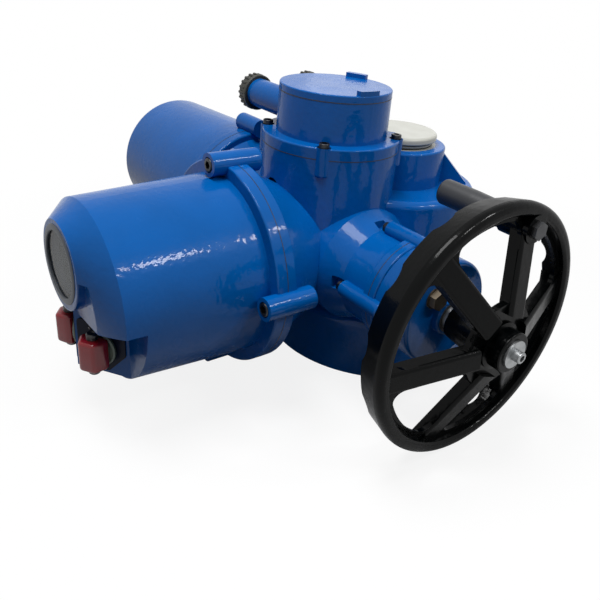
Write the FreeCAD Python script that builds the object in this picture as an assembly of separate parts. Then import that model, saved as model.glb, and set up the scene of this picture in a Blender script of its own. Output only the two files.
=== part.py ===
import FreeCAD, Part
import os
from math import atan2, cos, degrees, pi, radians, sin, sqrt, tan

V = FreeCAD.Vector
X, Y, Z = V(1, 0, 0), V(0, 1, 0), V(0, 0, 1)

# Electric valve actuator. The origin is on the valve stem's axis, in the face that is bolted to
# the valve. Z is up, the handwheel looks along +X and the control cover along -Y. Millimetres.

# Shared clearances
FIT = 0.05
GAP = 0.3

# Worm and worm wheel, which set where the worm axis runs
MODULE = 4.0
TEETH = 44
WORM_PITCH_R = 25.0
WHEEL_W = 24.0
WHEEL_BORE_R = 46.0
WHEEL_WEB_CUT = 5.0
WORM_L = 60.0
BACKLASH = 0.8
THREAD_TURN = 311.0
WORM_SHAFT_R = 14.0
WORM_TAIL_R = 10.0
WORM_BORE_R = 32.0
WORM_BEARING_W = 16.0
WORM_BEARING_X = 54.0
WORM_CASE_R = 70.0

# Thrust base and valve flange, eight M16 on a 254 circle
BASE_R = 150.0
BASE_H = 82.0
BASE_EDGE = 12.0
FLANGE_BOLTS = 8
FLANGE_PCR = 127.0
FLANGE_HOLE_R = 7.0
FLANGE_HOLE_DEPTH = 34.0
NUT_OPENING_R = 60.0

WHEEL_PITCH_R = MODULE * TEETH / 2
AXIS_Y = -(WHEEL_PITCH_R + WORM_PITCH_R)
AXIS_Z = BASE_H + WORM_CASE_R

# Gearcase drum and output column
WALL = 9.0
DRUM_R = 109.0
DRUM_H = 142.0
DRUM_EDGE = 9.0
COLUMN_R = 63.0
COLUMN_H = 47.0
COLUMN_EDGE = 2.5
RIB_T = 11.0
RIB_REACH = 40.0
RIB_ANGLES = (48.0, 132.0)
FOOT_R = 78.0
FOOT_H = 16.0
FOOT_SCREWS = 8
FOOT_SCREW_PCR = 89.0
FOOT_SCREW_D = 10.0
FOOT_SCREW_GRIP = 28.0
SCREW_TIP_GAP = 4.0

DRUM_TOP = BASE_H + DRUM_H
COLUMN_TOP = DRUM_TOP + COLUMN_H

# Stem cap
CAP_R = 50.0
CAP_H = 15.0
CAP_HEAD_H = 8.5
CAP_NECK_R = 39.0
CAP_WALL = 5.0
CAP_SEAL_H = 2.0
CAP_SEAL_W = 6.0
CAP_PLUG_H = 11.0
CAP_RELIEF = 1.5

CAP_TOP = COLUMN_TOP + CAP_H
CAP_PLUG_LOW = COLUMN_TOP - CAP_PLUG_H
CAP_RELIEF_R = CAP_R + CAP_RELIEF

# Output sleeve, its bearings and the stem nut
STEM_BORE_R = 18.0
SLEEVE_BORE_R = 27.0
NUT_R = 34.0
NUT_LOW = 3.0
NUT_H = 54.0
SLEEVE_R = 42.0
SLEEVE_LOW = 4.0
SLEEVE_FLANGE_R = 66.0
SLEEVE_FLANGE_H = 10.0
THRUST_BEARING_LOW = 14.0
THRUST_BEARING_H = 22.0
THRUST_BEARING_R = 72.0
JOURNAL_R = 35.0
JOURNAL_SHOULDER = 5.0
COLUMN_BEARING_R = 50.0
COLUMN_BEARING_H = 18.0
BEARING_SHOULDER = 4.0
BEARING_NUT_H = 8.0
SEAL_LOW = 3.0
SEAL_H = 9.0

BEARING_NUT_LOW = CAP_PLUG_LOW - BEARING_NUT_H
COLUMN_BEARING_LOW = BEARING_NUT_LOW - COLUMN_BEARING_H

# Motor side of the worm housing
MOTOR_JOINT_X = -172.0
MOTOR_FLANGE_R = 99.0
MOTOR_FLANGE_W = 15.0
MOTOR_CONE_L = 38.0
MOTOR_CONE_STEP = 8.0
MOTOR_LUG_PCR = 106.0
MOTOR_LUG_R = 12.0
MOTOR_LUG_L = 24.0
LUG_SCREW_D = 10.0
LUG_SINK = 9.0
LUG_SINK_R = 0.75 * LUG_SCREW_D + 1
LUG_SCREW_IN = 18.0

# Motor
MOTOR_L = 230.0
MOTOR_R = 98.0
MOTOR_END_R = 91.5
MOTOR_END_EDGE = 9.0
MOTOR_WALL = 7.0
MOTOR_END_WALL = 9.0
TAIL_BEARING_R = 22.0
TAIL_BEARING_W = 14.0
TAIL_BEARING_SEAT = 9.0
TAIL_BEARING_BOSS = 7.0
STATOR_BORE_R = 52.0
STATOR_L = 130.0
STATOR_FREE_END = 42.0
WINDING_H = 16.0
AIR_GAP = 0.6

MOTOR_END_X = MOTOR_JOINT_X - MOTOR_L
STATOR_R = MOTOR_END_R - MOTOR_WALL
STATOR_X = MOTOR_END_X + STATOR_FREE_END
TAIL_BEARING_X = MOTOR_END_X + MOTOR_END_WALL + TAIL_BEARING_SEAT

# Terminal compartment
TERMINAL_RISE = 9.0
TERMINAL_NECK_R = 82.0
TERMINAL_FLANGE_H = 13.0
TERMINAL_R = 66.5
TERMINAL_TOP_R = 65.5
TERMINAL_WALL = 7.5
TERMINAL_H = 59.0
TERMINAL_FLOOR = 8.0
TERMINAL_LUG_PCR = 77.0
TERMINAL_LUG_R = 8.5
TERMINAL_LUG_H = 20.0
TERMINAL_SCREW_D = 8.0
TERMINAL_SCREW_L = 26.0
TERMINAL_SCREW_SINK = 3.0
LID_H = 8.0
LID_THREAD_H = 12.0
LID_LUG_W = 26.0
LID_LUG_H = 5.0
LID_ANGLES = (-4.0, 116.0)
CONDUIT_EDGE = 3.0
DUCT_R = 11.0
DUCT_FALL = 0.28
CONDUIT_Y = 40.0
CONDUIT_R = 17.0
CONDUIT_HOLE_R = 13.0
CONDUIT_END_X = -98.0
PLUG_R = 22.0
PLUG_H = 17.0
PLUG_SHANK = 17.0
BLOCK_MARGIN = 12.0
BLOCK_HOLE_R = 14.0
BLOCK_H = 6.0
POST_L = 14.0
POST_W = 8.4
POST_H = 12.0
POSTS = 16

TERMINAL_JOINT_Z = COLUMN_TOP + TERMINAL_RISE
LID_SEAM_Z = TERMINAL_JOINT_Z + TERMINAL_H
LID_TOP_Z = LID_SEAM_Z + LID_H
CONDUIT_Z = LID_SEAM_Z - CONDUIT_EDGE - CONDUIT_R
TERMINAL_ROOM_R = TERMINAL_TOP_R - TERMINAL_WALL

# Control compartment
CONTROL_REACH = 137.0
CONTROL_FLANGE_R = 119.0
CONTROL_FLANGE_H = 13.0
CONTROL_LUG_PCR = 118.5
CONTROL_LUG_R = 13.0
CONTROL_LUG_L = 30.0
CONTROL_LUG_BACK = 32.0
CONTROL_SCREW_IN = 22.0
CONTROL_ROOM_L = 50.0
NECK_R = 110.0
NECK_END_R = 69.0
NECK_END_OUT = 37.0
COVER_R = 105.0
COVER_FRONT_R = 99.0
COVER_L = 171.0
COVER_WALL = 7.0
NOSE_L = 25.0
BEZEL_R = 46.0
BEZEL_RISE = 37.0
WINDOW_R = 38.0
WINDOW_HOLE_R = 32.0
WINDOW_SEAT = 5.0
BOSS_R = 47.5

# Selector pockets under the window boss
FACET_LOW_IN = 11.5
FACET_RUN = 42.0
FACET_RISE = 4.0
POCKET_MID_Z = -18.0
POCKET_KNEE_X = 62.0
POCKET_KNEE_Z = -15.0
POCKET_END_Z = -2.5
SHOULDER_IN = 21.0
PROW_OUT = 37.0
PROW_ANGLE = 35.0
PROW_LOW = -84.0
PLATE_T = 1.6
PLATE_EDGE = 4.0
PLATE_CORNER = 5.0
KNOB_OUT = 25.0
KNOB_DROP = -53.0
KNOB_R = 20.0
KNOB_BASE_H = 5.0
KNOB_GRIP_H = 17.0
KNOB_GRIP_L = 32.0
KNOB_GRIP_W = 26.0
KNOB_END_R = 6.0
KNOB_END_L = 7.0
KNOB_PIN_R = 3.0
KNOB_PIN_IN = 8.0
KNOB_PIN_HEAD = 2.0

CONTROL_JOINT_Y = AXIS_Y - CONTROL_REACH
CONTROL_LUG_FRONT = CONTROL_JOINT_Y - CONTROL_LUG_L
CONTROL_LUG_REAR = CONTROL_JOINT_Y + CONTROL_LUG_BACK
NECK_END_Y = AXIS_Y - NECK_END_OUT
COVER_FRONT_Y = CONTROL_JOINT_Y - COVER_L
BEZEL_Y = COVER_FRONT_Y - NOSE_L
SHOULDER_Y = COVER_FRONT_Y + SHOULDER_IN
PROW_Y = SHOULDER_Y - PROW_OUT
FACET_Y = BEZEL_Y + FACET_LOW_IN
COVER_ROOM_Y = SHOULDER_Y + COVER_WALL + 2
PLAN_TAN = tan(radians(PROW_ANGLE))

# Electronics behind the window
CHASSIS_T = 4.0
CHASSIS_MARGIN = 4.0
PILLAR_R = 5.0
PILLAR_IN = 18.0
BOARD_T = 2.4
BOARD_BEHIND = 20.0
BOARD_MARGIN = 6.0
CORE_W = 68.0
CORE_D = 52.0
CORE_H = 52.0
COIL_W = 44.0
COIL_STEP = 6.0
COIL_RISE = 10.0
DISPLAY_BACK = 8.0
DISPLAY_T = 8.0
SCREEN_W = 38.0
SCREEN_H = 24.0
DISPLAY_POST_R = 4.0
DISPLAY_POST_X = 16.0

BOARD_Y = COVER_ROOM_Y + BOARD_BEHIND

# Hand drive
CASE_CONE_X = 84.0
HAND_CASE_X = 112.0
HAND_CASE_R = 57.0
HAND_CASE_L = 48.0
HAND_RING_R = 62.0
HAND_RING_W = 9.0
HAND_LUG_PCR = 60.0
HAND_LUG_R = 9.5
HAND_LUG_L = 40.0
HAND_LUG_FRONT = 22.0
HAND_SCREW_D = 8.0
HAND_SCREW_IN = 15.0
HAND_COVER_R = 60.0
HAND_COVER_L = 58.0
HAND_COVER_EDGE = 5.0
HAND_BOSS_R = 21.5
HAND_BOSS_H = 8.0
HAND_SHAFT_R = 14.0
HAND_COLLAR_W = 6.0
BUSH_WALL = 4.0
BUSH_L = 14.0
PLUG_THREAD_R = 7.0
PLUG_Y = -24.0
PLUG_Z = 25.0
PLUG_WASHER_R = 11.5
PLUG_WASHER_T = 1.6
PLUG_HEX = 19.0
PLUG_HEX_H = 8.0

HAND_JOINT_X = HAND_CASE_X + HAND_CASE_L
HAND_LUG_X = HAND_JOINT_X - HAND_LUG_L
HAND_FACE_X = HAND_JOINT_X + HAND_COVER_L
HAND_BOSS_X = HAND_FACE_X + HAND_BOSS_H
HAND_COLLAR_X = HAND_FACE_X - WALL - BUSH_L - HAND_COLLAR_W - GAP

# Handwheel
HUB_GAP = 8.0
HUB_R = 22.0
HUB_BORE_R = 12.5
HUB_BARREL_L = 45.0
HUB_DISC_T = 9.0
HUB_DISC_R = 44.0
HUB_NOSE_L = 19.0
WHEEL_BEHIND = 4.0
RIM_W = 33.0
WHEEL_R = 142.0
WHEEL_BACK_R = 136.6
WHEEL_LIP_R = 128.5
WHEEL_INNER_R = 124.5
RIM_INNER_W = 15.0
RIM_T = 4.0
RIM_EDGE = 7.5
RIM_LIP_EDGE = 4.0
RIM_WAVES = 12
RIM_WAVE_R = 26.0
RIM_WAVE_DEPTH = 4.5
SPOKES = 6
SPOKE_ANGLE = 70.0
SPOKE_W = 26.0
SPOKE_T = 6.0
SPOKE_WALL_T = 5.0
SPOKE_WALL_H = 10.0
SPOKE_EDGE = 4.0
SPOKE_HUB_PROUD = 7.0
SPOKE_RIM_BACK = 8.0
SPOKE_ROOT_R = 33.0
WEB_T = 5.0
WEB_BACK = 2.0
GAP_OUT_R = 121.0
GAP_IN_R = 46.0
GAP_CORNER_R = 13.0
GAP_ROOT_R = 5.0
HANDLE_PCR = 117.0
HANDLE_L = 84.0
HANDLE_R = 14.0
HANDLE_BEHIND = 2.0
HANDLE_BOSS_R = 15.0
HANDLE_PIN_R = 6.0
HANDLE_HEAD_R = 9.5
HANDLE_HEAD_H = 6.0
HANDLE_NUT = 17.0
HANDLE_NUT_H = 6.0
HUB_SCREW_D = 8.0
HUB_SCREW_L = 22.0
HUB_WASHER_T = 2.5
HUB_WASHER_LAP = 2.5

HUB_BACK_X = HAND_BOSS_X + HUB_GAP
HUB_DISC_X = HUB_BACK_X + HUB_BARREL_L
HUB_FRONT_X = HUB_DISC_X + HUB_DISC_T
HUB_FACE_X = HUB_FRONT_X + HUB_NOSE_L
WHEEL_BACK_X = HUB_BACK_X + WHEEL_BEHIND
WHEEL_FRONT_X = WHEEL_BACK_X + RIM_W
RIM_INNER_X = WHEEL_FRONT_X - RIM_INNER_W
SPOKE_RIM_X = WHEEL_FRONT_X - SPOKE_RIM_BACK
SPOKE_ROOT_X = HUB_FRONT_X + SPOKE_HUB_PROUD
SPOKE_END_R = WHEEL_INNER_R + RIM_T - 1
HANDLE_BACK_X = WHEEL_BACK_X - HANDLE_BEHIND
HANDLE_END_X = HANDLE_BACK_X - HANDLE_L

# Declutching gear
DOG_TEETH = 4
DOG_R = 22.0
DOG_L = 8.0
DOG_W = 12.0
DOG_FACE_W = 7.0
WORM_DOG_X = 102.0
SPACER_GAP = 6.0
CLUTCH_L = 26.0
CLUTCH_R = 26.0
CLUTCH_GROOVE_X = 8.0
CLUTCH_GROOVE_W = 10.0
CLUTCH_GROOVE_D = 5.0
CLUTCH_TRAVEL = 8.0
LEVER_Y = 34.0
LEVER_Z = -27.0
LEVER_PIN_R = 6.0
LEVER_L = 52.0
LEVER_W = 20.0
LEVER_T = 5.0
LEVER_OUT = 2.0
LEVER_EYE_R = 3.2
LEVER_AIM = -48.0

WORM_SPACER_END = WORM_DOG_X - SPACER_GAP
CLUTCH_ROOM_X = WORM_DOG_X + DOG_L - 2
CLUTCH_X = WORM_DOG_X + DOG_L + GAP + CLUTCH_TRAVEL
LEVER_X = HAND_FACE_X + LEVER_OUT

MAIN = V(0, AXIS_Y, AXIS_Z)


def at(x=0.0, y=0.0, z=0.0):
    """A place given from the crossing of the worm axis with the control axis."""
    return MAIN + V(x, y, z)


def rod(r, start, axis, length):
    return Part.makeCylinder(r, length, start, axis)


def ring(r_out, r_in, start, axis, length):
    spare = 1.0
    return rod(r_out, start, axis, length).cut(rod(r_in, start - axis * spare, axis, length + 2 * spare))


def taper(r1, r2, start, axis, length):
    return Part.makeCone(r1, r2, length, start, axis)


def turned(profile, start, axis):
    """Revolve a closed outline of (radius, distance along the axis) points."""
    side = Z if abs(axis.z) < 0.5 else X
    pts = [start + side * r + axis * d for r, d in profile]
    face = Part.Face(Part.makePolygon(pts + [pts[0]]))
    return face.revolve(start, axis, 360)


def box(x0, x1, y0, y1, z0, z1):
    return Part.makeBox(x1 - x0, y1 - y0, z1 - z0, V(x0, y0, z0))


def around(count, radius, axis, first=0.0):
    """Offsets of a bolt circle in the plane across an axis, counted from that plane's first side."""
    if abs(axis.x) > 0.5:
        a, b = Y, Z
    elif abs(axis.y) > 0.5:
        a, b = X, Z
    else:
        a, b = X, Y
    angles = [radians(first + 360.0 * k / count) for k in range(count)]
    return [a * (radius * cos(t)) + b * (radius * sin(t)) for t in angles]


def joined(shapes):
    whole = shapes[0]
    if len(shapes) > 1:
        whole = whole.multiFuse(shapes[1:])
    return whole.removeSplitter()


def rounded(shape, radius, wanted):
    """Fillet the edges that the test picks."""
    edges = [e for e in shape.Edges if wanted(e)]
    return shape.makeFillet(radius, edges)


def circle_at(radius, axis, level):
    """Test for a full circle of one radius in one plane across an axis."""
    def test(edge):
        curve = edge.Curve
        if not hasattr(curve, "Radius") or abs(curve.Radius - radius) > 0.01:
            return False
        return abs(edge.CenterOfMass.dot(axis) - level) < 0.01
    return test


def hexagon(across, start, axis, length):
    """Hexagonal prism of a given width across flats."""
    r = across / sqrt(3)
    turn = FreeCAD.Rotation(Z, axis)
    pts = [V(r * cos(radians(60 * k)), r * sin(radians(60 * k)), 0) for k in range(7)]
    prism = Part.Face(Part.makePolygon(pts)).extrude(V(0, 0, length))
    prism.Placement = FreeCAD.Placement(start, turn)
    return prism


def socket_screw(d, length, seat, axis):
    """Cap screw whose head sits on the seat and whose shank runs along the axis."""
    head_h = d
    head_r = 0.75 * d
    head = rod(head_r, seat - axis * head_h, axis, head_h)
    head = rounded(head, 0.12 * d, circle_at(head_r, axis, (seat - axis * head_h).dot(axis)))
    socket = hexagon(0.8 * d, seat - axis * (head_h + 1), axis, 0.55 * d + 1)
    shank = rod(d / 2, seat, axis, length)
    return head.fuse(shank).removeSplitter().cut(socket)


def save(name, shape):
    shape.exportStep("parts/" + name + ".step")


# Sizes that follow from the ones above
PITCH = pi * MODULE
WHEEL_TIP_R = WHEEL_PITCH_R + MODULE
WHEEL_ROOT_R = WHEEL_PITCH_R - 1.25 * MODULE
WORM_TIP_R = WORM_PITCH_R + MODULE
WORM_ROOT_R = WORM_PITCH_R - 1.25 * MODULE
CAVITY_R = DRUM_R - WALL
CAVITY_TOP = DRUM_TOP - WALL
SLEEVE_FLANGE_LOW = THRUST_BEARING_LOW + THRUST_BEARING_H + FIT
WHEEL_LOW = AXIS_Z - WHEEL_W / 2
COLUMN_SHOULDER_R = COLUMN_BEARING_R - BEARING_SHOULDER
FOOT_SCREW_SEAT = BASE_H - FOOT_SCREW_GRIP


def neck_radius(y):
    """Radius of the control neck's cone at a given depth."""
    y0 = CONTROL_JOINT_Y + CONTROL_FLANGE_H
    return NECK_R + (NECK_END_R - NECK_R) * (y - y0) / (NECK_END_Y - y0)


def make_thrust_base():
    body = rod(BASE_R, V(0, 0, 0), Z, BASE_H)
    body = rounded(body, BASE_EDGE, circle_at(BASE_R, Z, BASE_H))
    cuts = [rod(NUT_OPENING_R, V(0, 0, -1), Z, BASE_H),
            rod(THRUST_BEARING_R, V(0, 0, THRUST_BEARING_LOW), Z, BASE_H)]
    for p in around(FLANGE_BOLTS, FLANGE_PCR, Z, 22.5):
        cuts.append(rod(FLANGE_HOLE_R, p - Z, Z, FLANGE_HOLE_DEPTH + 1))
    for p in around(FOOT_SCREWS, FOOT_SCREW_PCR, Z):
        cuts.append(rod(FOOT_SCREW_D / 2 + FIT, p - Z, Z, BASE_H + 2))
        cuts.append(rod(FOOT_SCREW_D * 0.9, p - Z, Z, FOOT_SCREW_SEAT + 1))
    return body.cut(Part.makeCompound(cuts))


def make_base_screws():
    screws = [socket_screw(FOOT_SCREW_D, FOOT_SCREW_GRIP + FOOT_H - SCREW_TIP_GAP, p + Z * FOOT_SCREW_SEAT, Z)
              for p in around(FOOT_SCREWS, FOOT_SCREW_PCR, Z)]
    return Part.makeCompound(screws)


def control_ribs():
    """Webs between the column and the top of the drum."""
    ribs = []
    low = DRUM_TOP - DRUM_EDGE
    for angle in RIB_ANGLES:
        face = Part.Face(Part.makePolygon([
            V(COLUMN_R - 20, -RIB_T / 2, low), V(COLUMN_R + RIB_REACH, -RIB_T / 2, low),
            V(COLUMN_R + RIB_REACH - 6, -RIB_T / 2, DRUM_TOP + 2), V(COLUMN_R, -RIB_T / 2, COLUMN_TOP - 10),
            V(COLUMN_R - 20, -RIB_T / 2, COLUMN_TOP - 10), V(COLUMN_R - 20, -RIB_T / 2, low)]))
        rib = face.extrude(V(0, RIB_T, 0))
        rib.rotate(V(0, 0, 0), Z, angle)
        ribs.append(rib)
    return ribs


def gearcase_outside():
    drum = rod(DRUM_R, V(0, 0, BASE_H), Z, DRUM_TOP - BASE_H)
    drum = rounded(drum, DRUM_EDGE, circle_at(DRUM_R, Z, DRUM_TOP))
    column = rod(COLUMN_R, V(0, 0, AXIS_Z), Z, COLUMN_TOP - AXIS_Z)
    column = rounded(column, COLUMN_EDGE, circle_at(COLUMN_R, Z, COLUMN_TOP))
    shapes = [drum, column] + control_ribs()
    # horizontal worm case, with a cone down to the hand drive
    cone_x = MOTOR_JOINT_X + MOTOR_FLANGE_W - 1
    shapes.append(taper(MOTOR_FLANGE_R - MOTOR_CONE_STEP, WORM_CASE_R, at(cone_x), X, MOTOR_CONE_L))
    shapes.append(rod(WORM_CASE_R, at(cone_x + MOTOR_CONE_L), X, CASE_CONE_X - cone_x - MOTOR_CONE_L))
    shapes.append(taper(WORM_CASE_R, HAND_CASE_R, at(CASE_CONE_X), X, HAND_CASE_X - CASE_CONE_X))
    shapes.append(rod(HAND_CASE_R, at(HAND_CASE_X), X, HAND_JOINT_X - HAND_CASE_X))
    ring_x = HAND_JOINT_X - HAND_RING_W
    hand_ring = rod(HAND_RING_R, at(ring_x), X, HAND_RING_W)
    shapes.append(rounded(hand_ring, 2, circle_at(HAND_RING_R, X, ring_x)))
    for p in around(4, HAND_LUG_PCR, X):
        shapes.append(rod(HAND_LUG_R, at(HAND_LUG_X) + p, X, HAND_JOINT_X - HAND_LUG_X))
    # motor side
    motor_ring = rod(MOTOR_FLANGE_R, at(MOTOR_JOINT_X), X, MOTOR_FLANGE_W)
    shapes.append(rounded(motor_ring, 3, circle_at(MOTOR_FLANGE_R, X, MOTOR_JOINT_X + MOTOR_FLANGE_W)))
    for p in around(4, MOTOR_LUG_PCR, X):
        shapes.append(rod(MOTOR_LUG_R, at(MOTOR_JOINT_X) + p, X, MOTOR_LUG_L))
    # control neck and flange
    flange = rod(CONTROL_FLANGE_R, V(0, CONTROL_JOINT_Y, AXIS_Z), Y, CONTROL_FLANGE_H)
    shapes.append(rounded(flange, 3, circle_at(CONTROL_FLANGE_R, Y, CONTROL_JOINT_Y + CONTROL_FLANGE_H)))
    neck_y = CONTROL_JOINT_Y + CONTROL_FLANGE_H - 1
    shapes.append(taper(neck_radius(neck_y), NECK_END_R, V(0, neck_y, AXIS_Z), Y, NECK_END_Y - neck_y))
    shapes.append(rod(NECK_END_R, V(0, NECK_END_Y, AXIS_Z), Y, -NECK_END_Y - 0.6 * CAVITY_R))
    for p in around(4, CONTROL_LUG_PCR, Y):
        lug = rod(CONTROL_LUG_R, V(0, CONTROL_JOINT_Y, AXIS_Z) + p, Y, CONTROL_LUG_REAR - CONTROL_JOINT_Y)
        shapes.append(rounded(lug, 2, circle_at(CONTROL_LUG_R, Y, CONTROL_LUG_REAR)))
    # neck under the terminal compartment
    neck = rod(TERMINAL_NECK_R, at(0, 0, 0), Z, TERMINAL_JOINT_Z - AXIS_Z)
    shapes.append(neck)
    for p in around(4, TERMINAL_LUG_PCR, Z, 45):
        low = TERMINAL_JOINT_Z - TERMINAL_LUG_H
        lug = rod(TERMINAL_LUG_R, V(0, AXIS_Y, low) + p, Z, TERMINAL_JOINT_Z - low)
        shapes.append(rounded(lug, 3, circle_at(TERMINAL_LUG_R, Z, low)))
    return joined(shapes)


def make_gearcase():
    body = gearcase_outside()
    spare = 1.0
    cuts = []
    # wheel chamber, its foot for the base screws, and the column's bore
    cuts.append(rod(CAVITY_R, V(0, 0, BASE_H + FOOT_H), Z, CAVITY_TOP - BASE_H - FOOT_H))
    cuts.append(rod(FOOT_R, V(0, 0, BASE_H - spare), Z, FOOT_H + 2 * spare))
    cuts.append(rod(COLUMN_SHOULDER_R, V(0, 0, CAVITY_TOP - spare), Z, COLUMN_TOP - CAVITY_TOP))
    cuts.append(rod(COLUMN_BEARING_R, V(0, 0, COLUMN_BEARING_LOW), Z, COLUMN_TOP - COLUMN_BEARING_LOW + spare))
    cuts.append(rod(CAP_RELIEF_R, V(0, 0, COLUMN_TOP), Z, COLUMN_TOP))
    # worm bore, partition, clutch chamber
    cuts.append(rod(WORM_BORE_R, at(MOTOR_JOINT_X - spare), X, WORM_SPACER_END - MOTOR_JOINT_X + spare))
    cuts.append(rod(DOG_R + 1, at(WORM_SPACER_END - spare), X, HAND_JOINT_X - WORM_SPACER_END))
    cuts.append(rod(HAND_CASE_R - WALL, at(CLUTCH_ROOM_X), X, HAND_JOINT_X - CLUTCH_ROOM_X + spare))
    # control and terminal rooms, and the wire duct between them
    room_y = CONTROL_JOINT_Y + CONTROL_ROOM_L
    cuts.append(rod(neck_radius(room_y) - WALL, V(0, CONTROL_JOINT_Y - spare, AXIS_Z), Y, CONTROL_ROOM_L + spare))
    inner_l = NECK_END_Y - room_y - 2 * WALL + spare
    cuts.append(rod(NECK_END_R - 2 * WALL, V(0, room_y - spare, AXIS_Z), Y, inner_l))
    floor_z = DRUM_TOP + WALL
    cuts.append(rod(TERMINAL_ROOM_R, V(0, AXIS_Y, floor_z), Z, TERMINAL_JOINT_Z - floor_z + spare))
    duct_from = V(0, AXIS_Y - TERMINAL_ROOM_R + DUCT_R, floor_z + DUCT_R)
    cuts.append(rod(DUCT_R, duct_from, V(0, -1, -DUCT_FALL).normalize(), CONTROL_REACH * 0.4))
    # holes for the screws of the lugs and of the base
    for p in around(4, CONTROL_LUG_PCR, Y):
        cuts.append(rod(LUG_SCREW_D / 2 + FIT, V(0, CONTROL_JOINT_Y - spare, AXIS_Z) + p, Y,
                        CONTROL_SCREW_IN + SCREW_TIP_GAP))
    for p in around(4, MOTOR_LUG_PCR, X):
        cuts.append(rod(LUG_SCREW_D / 2 + FIT, at(MOTOR_JOINT_X - spare) + p, X, LUG_SCREW_IN + SCREW_TIP_GAP))
    for p in around(4, HAND_LUG_PCR, X):
        cuts.append(rod(HAND_SCREW_D / 2 + FIT, at(HAND_LUG_X - spare) + p, X, HAND_LUG_L + 2 * spare))
        cuts.append(rod(HAND_SCREW_D * 0.95, at(HAND_LUG_X - 2.5 * HAND_SCREW_D) + p, X, 2.5 * HAND_SCREW_D))
    for p in around(4, TERMINAL_LUG_PCR, Z, 45):
        low = TERMINAL_JOINT_Z - TERMINAL_SCREW_L + TERMINAL_FLANGE_H - SCREW_TIP_GAP
        cuts.append(rod(TERMINAL_SCREW_D / 2 + FIT, V(0, AXIS_Y, low) + p, Z, TERMINAL_JOINT_Z - low + spare))
    for p in around(FOOT_SCREWS, FOOT_SCREW_PCR, Z):
        cuts.append(rod(FOOT_SCREW_D / 2 + FIT, V(0, 0, BASE_H - spare) + p, Z, FOOT_H - 1))
    for cut in cuts:
        body = body.cut(cut)
    return body


def make_stem_cap():
    """Screwed cap, hollow for the end of the rising stem."""
    low = COLUMN_TOP + CAP_SEAL_H
    head = CAP_TOP - CAP_HEAD_H
    room_r = CAP_NECK_R - CAP_WALL - 3
    plug_r = COLUMN_BEARING_R - FIT
    profile = [(0, CAP_TOP), (CAP_R, CAP_TOP), (CAP_R, head), (CAP_NECK_R, head), (CAP_NECK_R, low + 2),
               (CAP_NECK_R + CAP_SEAL_W, low + 2), (CAP_NECK_R + CAP_SEAL_W, low), (CAP_NECK_R - 1, low),
               (CAP_NECK_R - 1, COLUMN_TOP), (plug_r, COLUMN_TOP), (plug_r, CAP_PLUG_LOW + FIT),
               (room_r, CAP_PLUG_LOW + FIT), (room_r, CAP_TOP - CAP_WALL), (0, CAP_TOP - CAP_WALL)]
    cap = turned(profile, V(0, 0, 0), Z)
    cap = rounded(cap, 4, circle_at(CAP_R, Z, CAP_TOP))
    return rounded(cap, 1.5, circle_at(CAP_R, Z, head))


def make_stem_cap_seal():
    return ring(CAP_NECK_R + CAP_SEAL_W, CAP_NECK_R - 1 + FIT, V(0, 0, COLUMN_TOP), Z, CAP_SEAL_H)


def make_drive_sleeve():
    top = CAP_PLUG_LOW - 2
    flange_top = SLEEVE_FLANGE_LOW + SLEEVE_FLANGE_H
    seat_top = WHEEL_LOW + WHEEL_W
    shoulder_r = JOURNAL_R + JOURNAL_SHOULDER
    profile = [(NUT_R, SLEEVE_LOW), (SLEEVE_R, SLEEVE_LOW), (SLEEVE_R, SLEEVE_FLANGE_LOW),
               (SLEEVE_FLANGE_R, SLEEVE_FLANGE_LOW), (SLEEVE_FLANGE_R, flange_top), (SLEEVE_R, flange_top + 6),
               (SLEEVE_R, WHEEL_LOW - 12), (WHEEL_BORE_R + 12, WHEEL_LOW - 6), (WHEEL_BORE_R + 12, WHEEL_LOW),
               (WHEEL_BORE_R, WHEEL_LOW), (WHEEL_BORE_R, seat_top), (shoulder_r, seat_top + 3),
               (shoulder_r, COLUMN_BEARING_LOW - FIT), (JOURNAL_R, COLUMN_BEARING_LOW - FIT),
               (JOURNAL_R, top), (SLEEVE_BORE_R, top), (SLEEVE_BORE_R, NUT_LOW + NUT_H), (NUT_R, NUT_LOW + NUT_H)]
    return turned(profile, V(0, 0, 0), Z)


def make_stem_nut():
    return ring(NUT_R, STEM_BORE_R, V(0, 0, NUT_LOW), Z, NUT_H)


def bearing(r_out, r_in, start, axis, width):
    """Shielded bearing with the groove between its rings on each face."""
    mid = (r_out + r_in) / 2
    half = (r_out - r_in) * 0.22
    body = ring(r_out, r_in, start, axis, width)
    for d in (-1.0, width - 1.0):
        body = body.cut(ring(mid + half, mid - half, start + axis * d, axis, 2.0))
    return body


def make_column_bearings():
    low = bearing(THRUST_BEARING_R, SLEEVE_R + FIT, V(0, 0, THRUST_BEARING_LOW), Z, THRUST_BEARING_H)
    high = bearing(COLUMN_BEARING_R, JOURNAL_R + FIT, V(0, 0, COLUMN_BEARING_LOW), Z, COLUMN_BEARING_H)
    return Part.makeCompound([low, high])


def make_bearing_nut():
    body = ring(COLUMN_BEARING_R, JOURNAL_R + JOURNAL_SHOULDER, V(0, 0, BEARING_NUT_LOW), Z, BEARING_NUT_H)
    slots = [box(JOURNAL_R, COLUMN_BEARING_R - 6, -4, 4, BEARING_NUT_LOW + 4, CAP_PLUG_LOW + 1) for _ in range(4)]
    for k, slot in enumerate(slots):
        slot.rotate(V(0, 0, 0), Z, 90 * k)
    return body.cut(Part.makeCompound(slots))


def make_output_seal():
    profile = [(NUT_OPENING_R, SEAL_LOW), (NUT_OPENING_R, SEAL_LOW + SEAL_H), (NUT_OPENING_R - 4, SEAL_LOW + SEAL_H),
               (NUT_OPENING_R - 5, SEAL_LOW + 3), (SLEEVE_R + 3, SEAL_LOW + 3), (SLEEVE_R + 2, SEAL_LOW + SEAL_H - 1),
               (SLEEVE_R + FIT, SEAL_LOW + SEAL_H - 3), (SLEEVE_R + 1, SEAL_LOW)]
    return turned(profile, V(0, 0, 0), Z)


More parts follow.
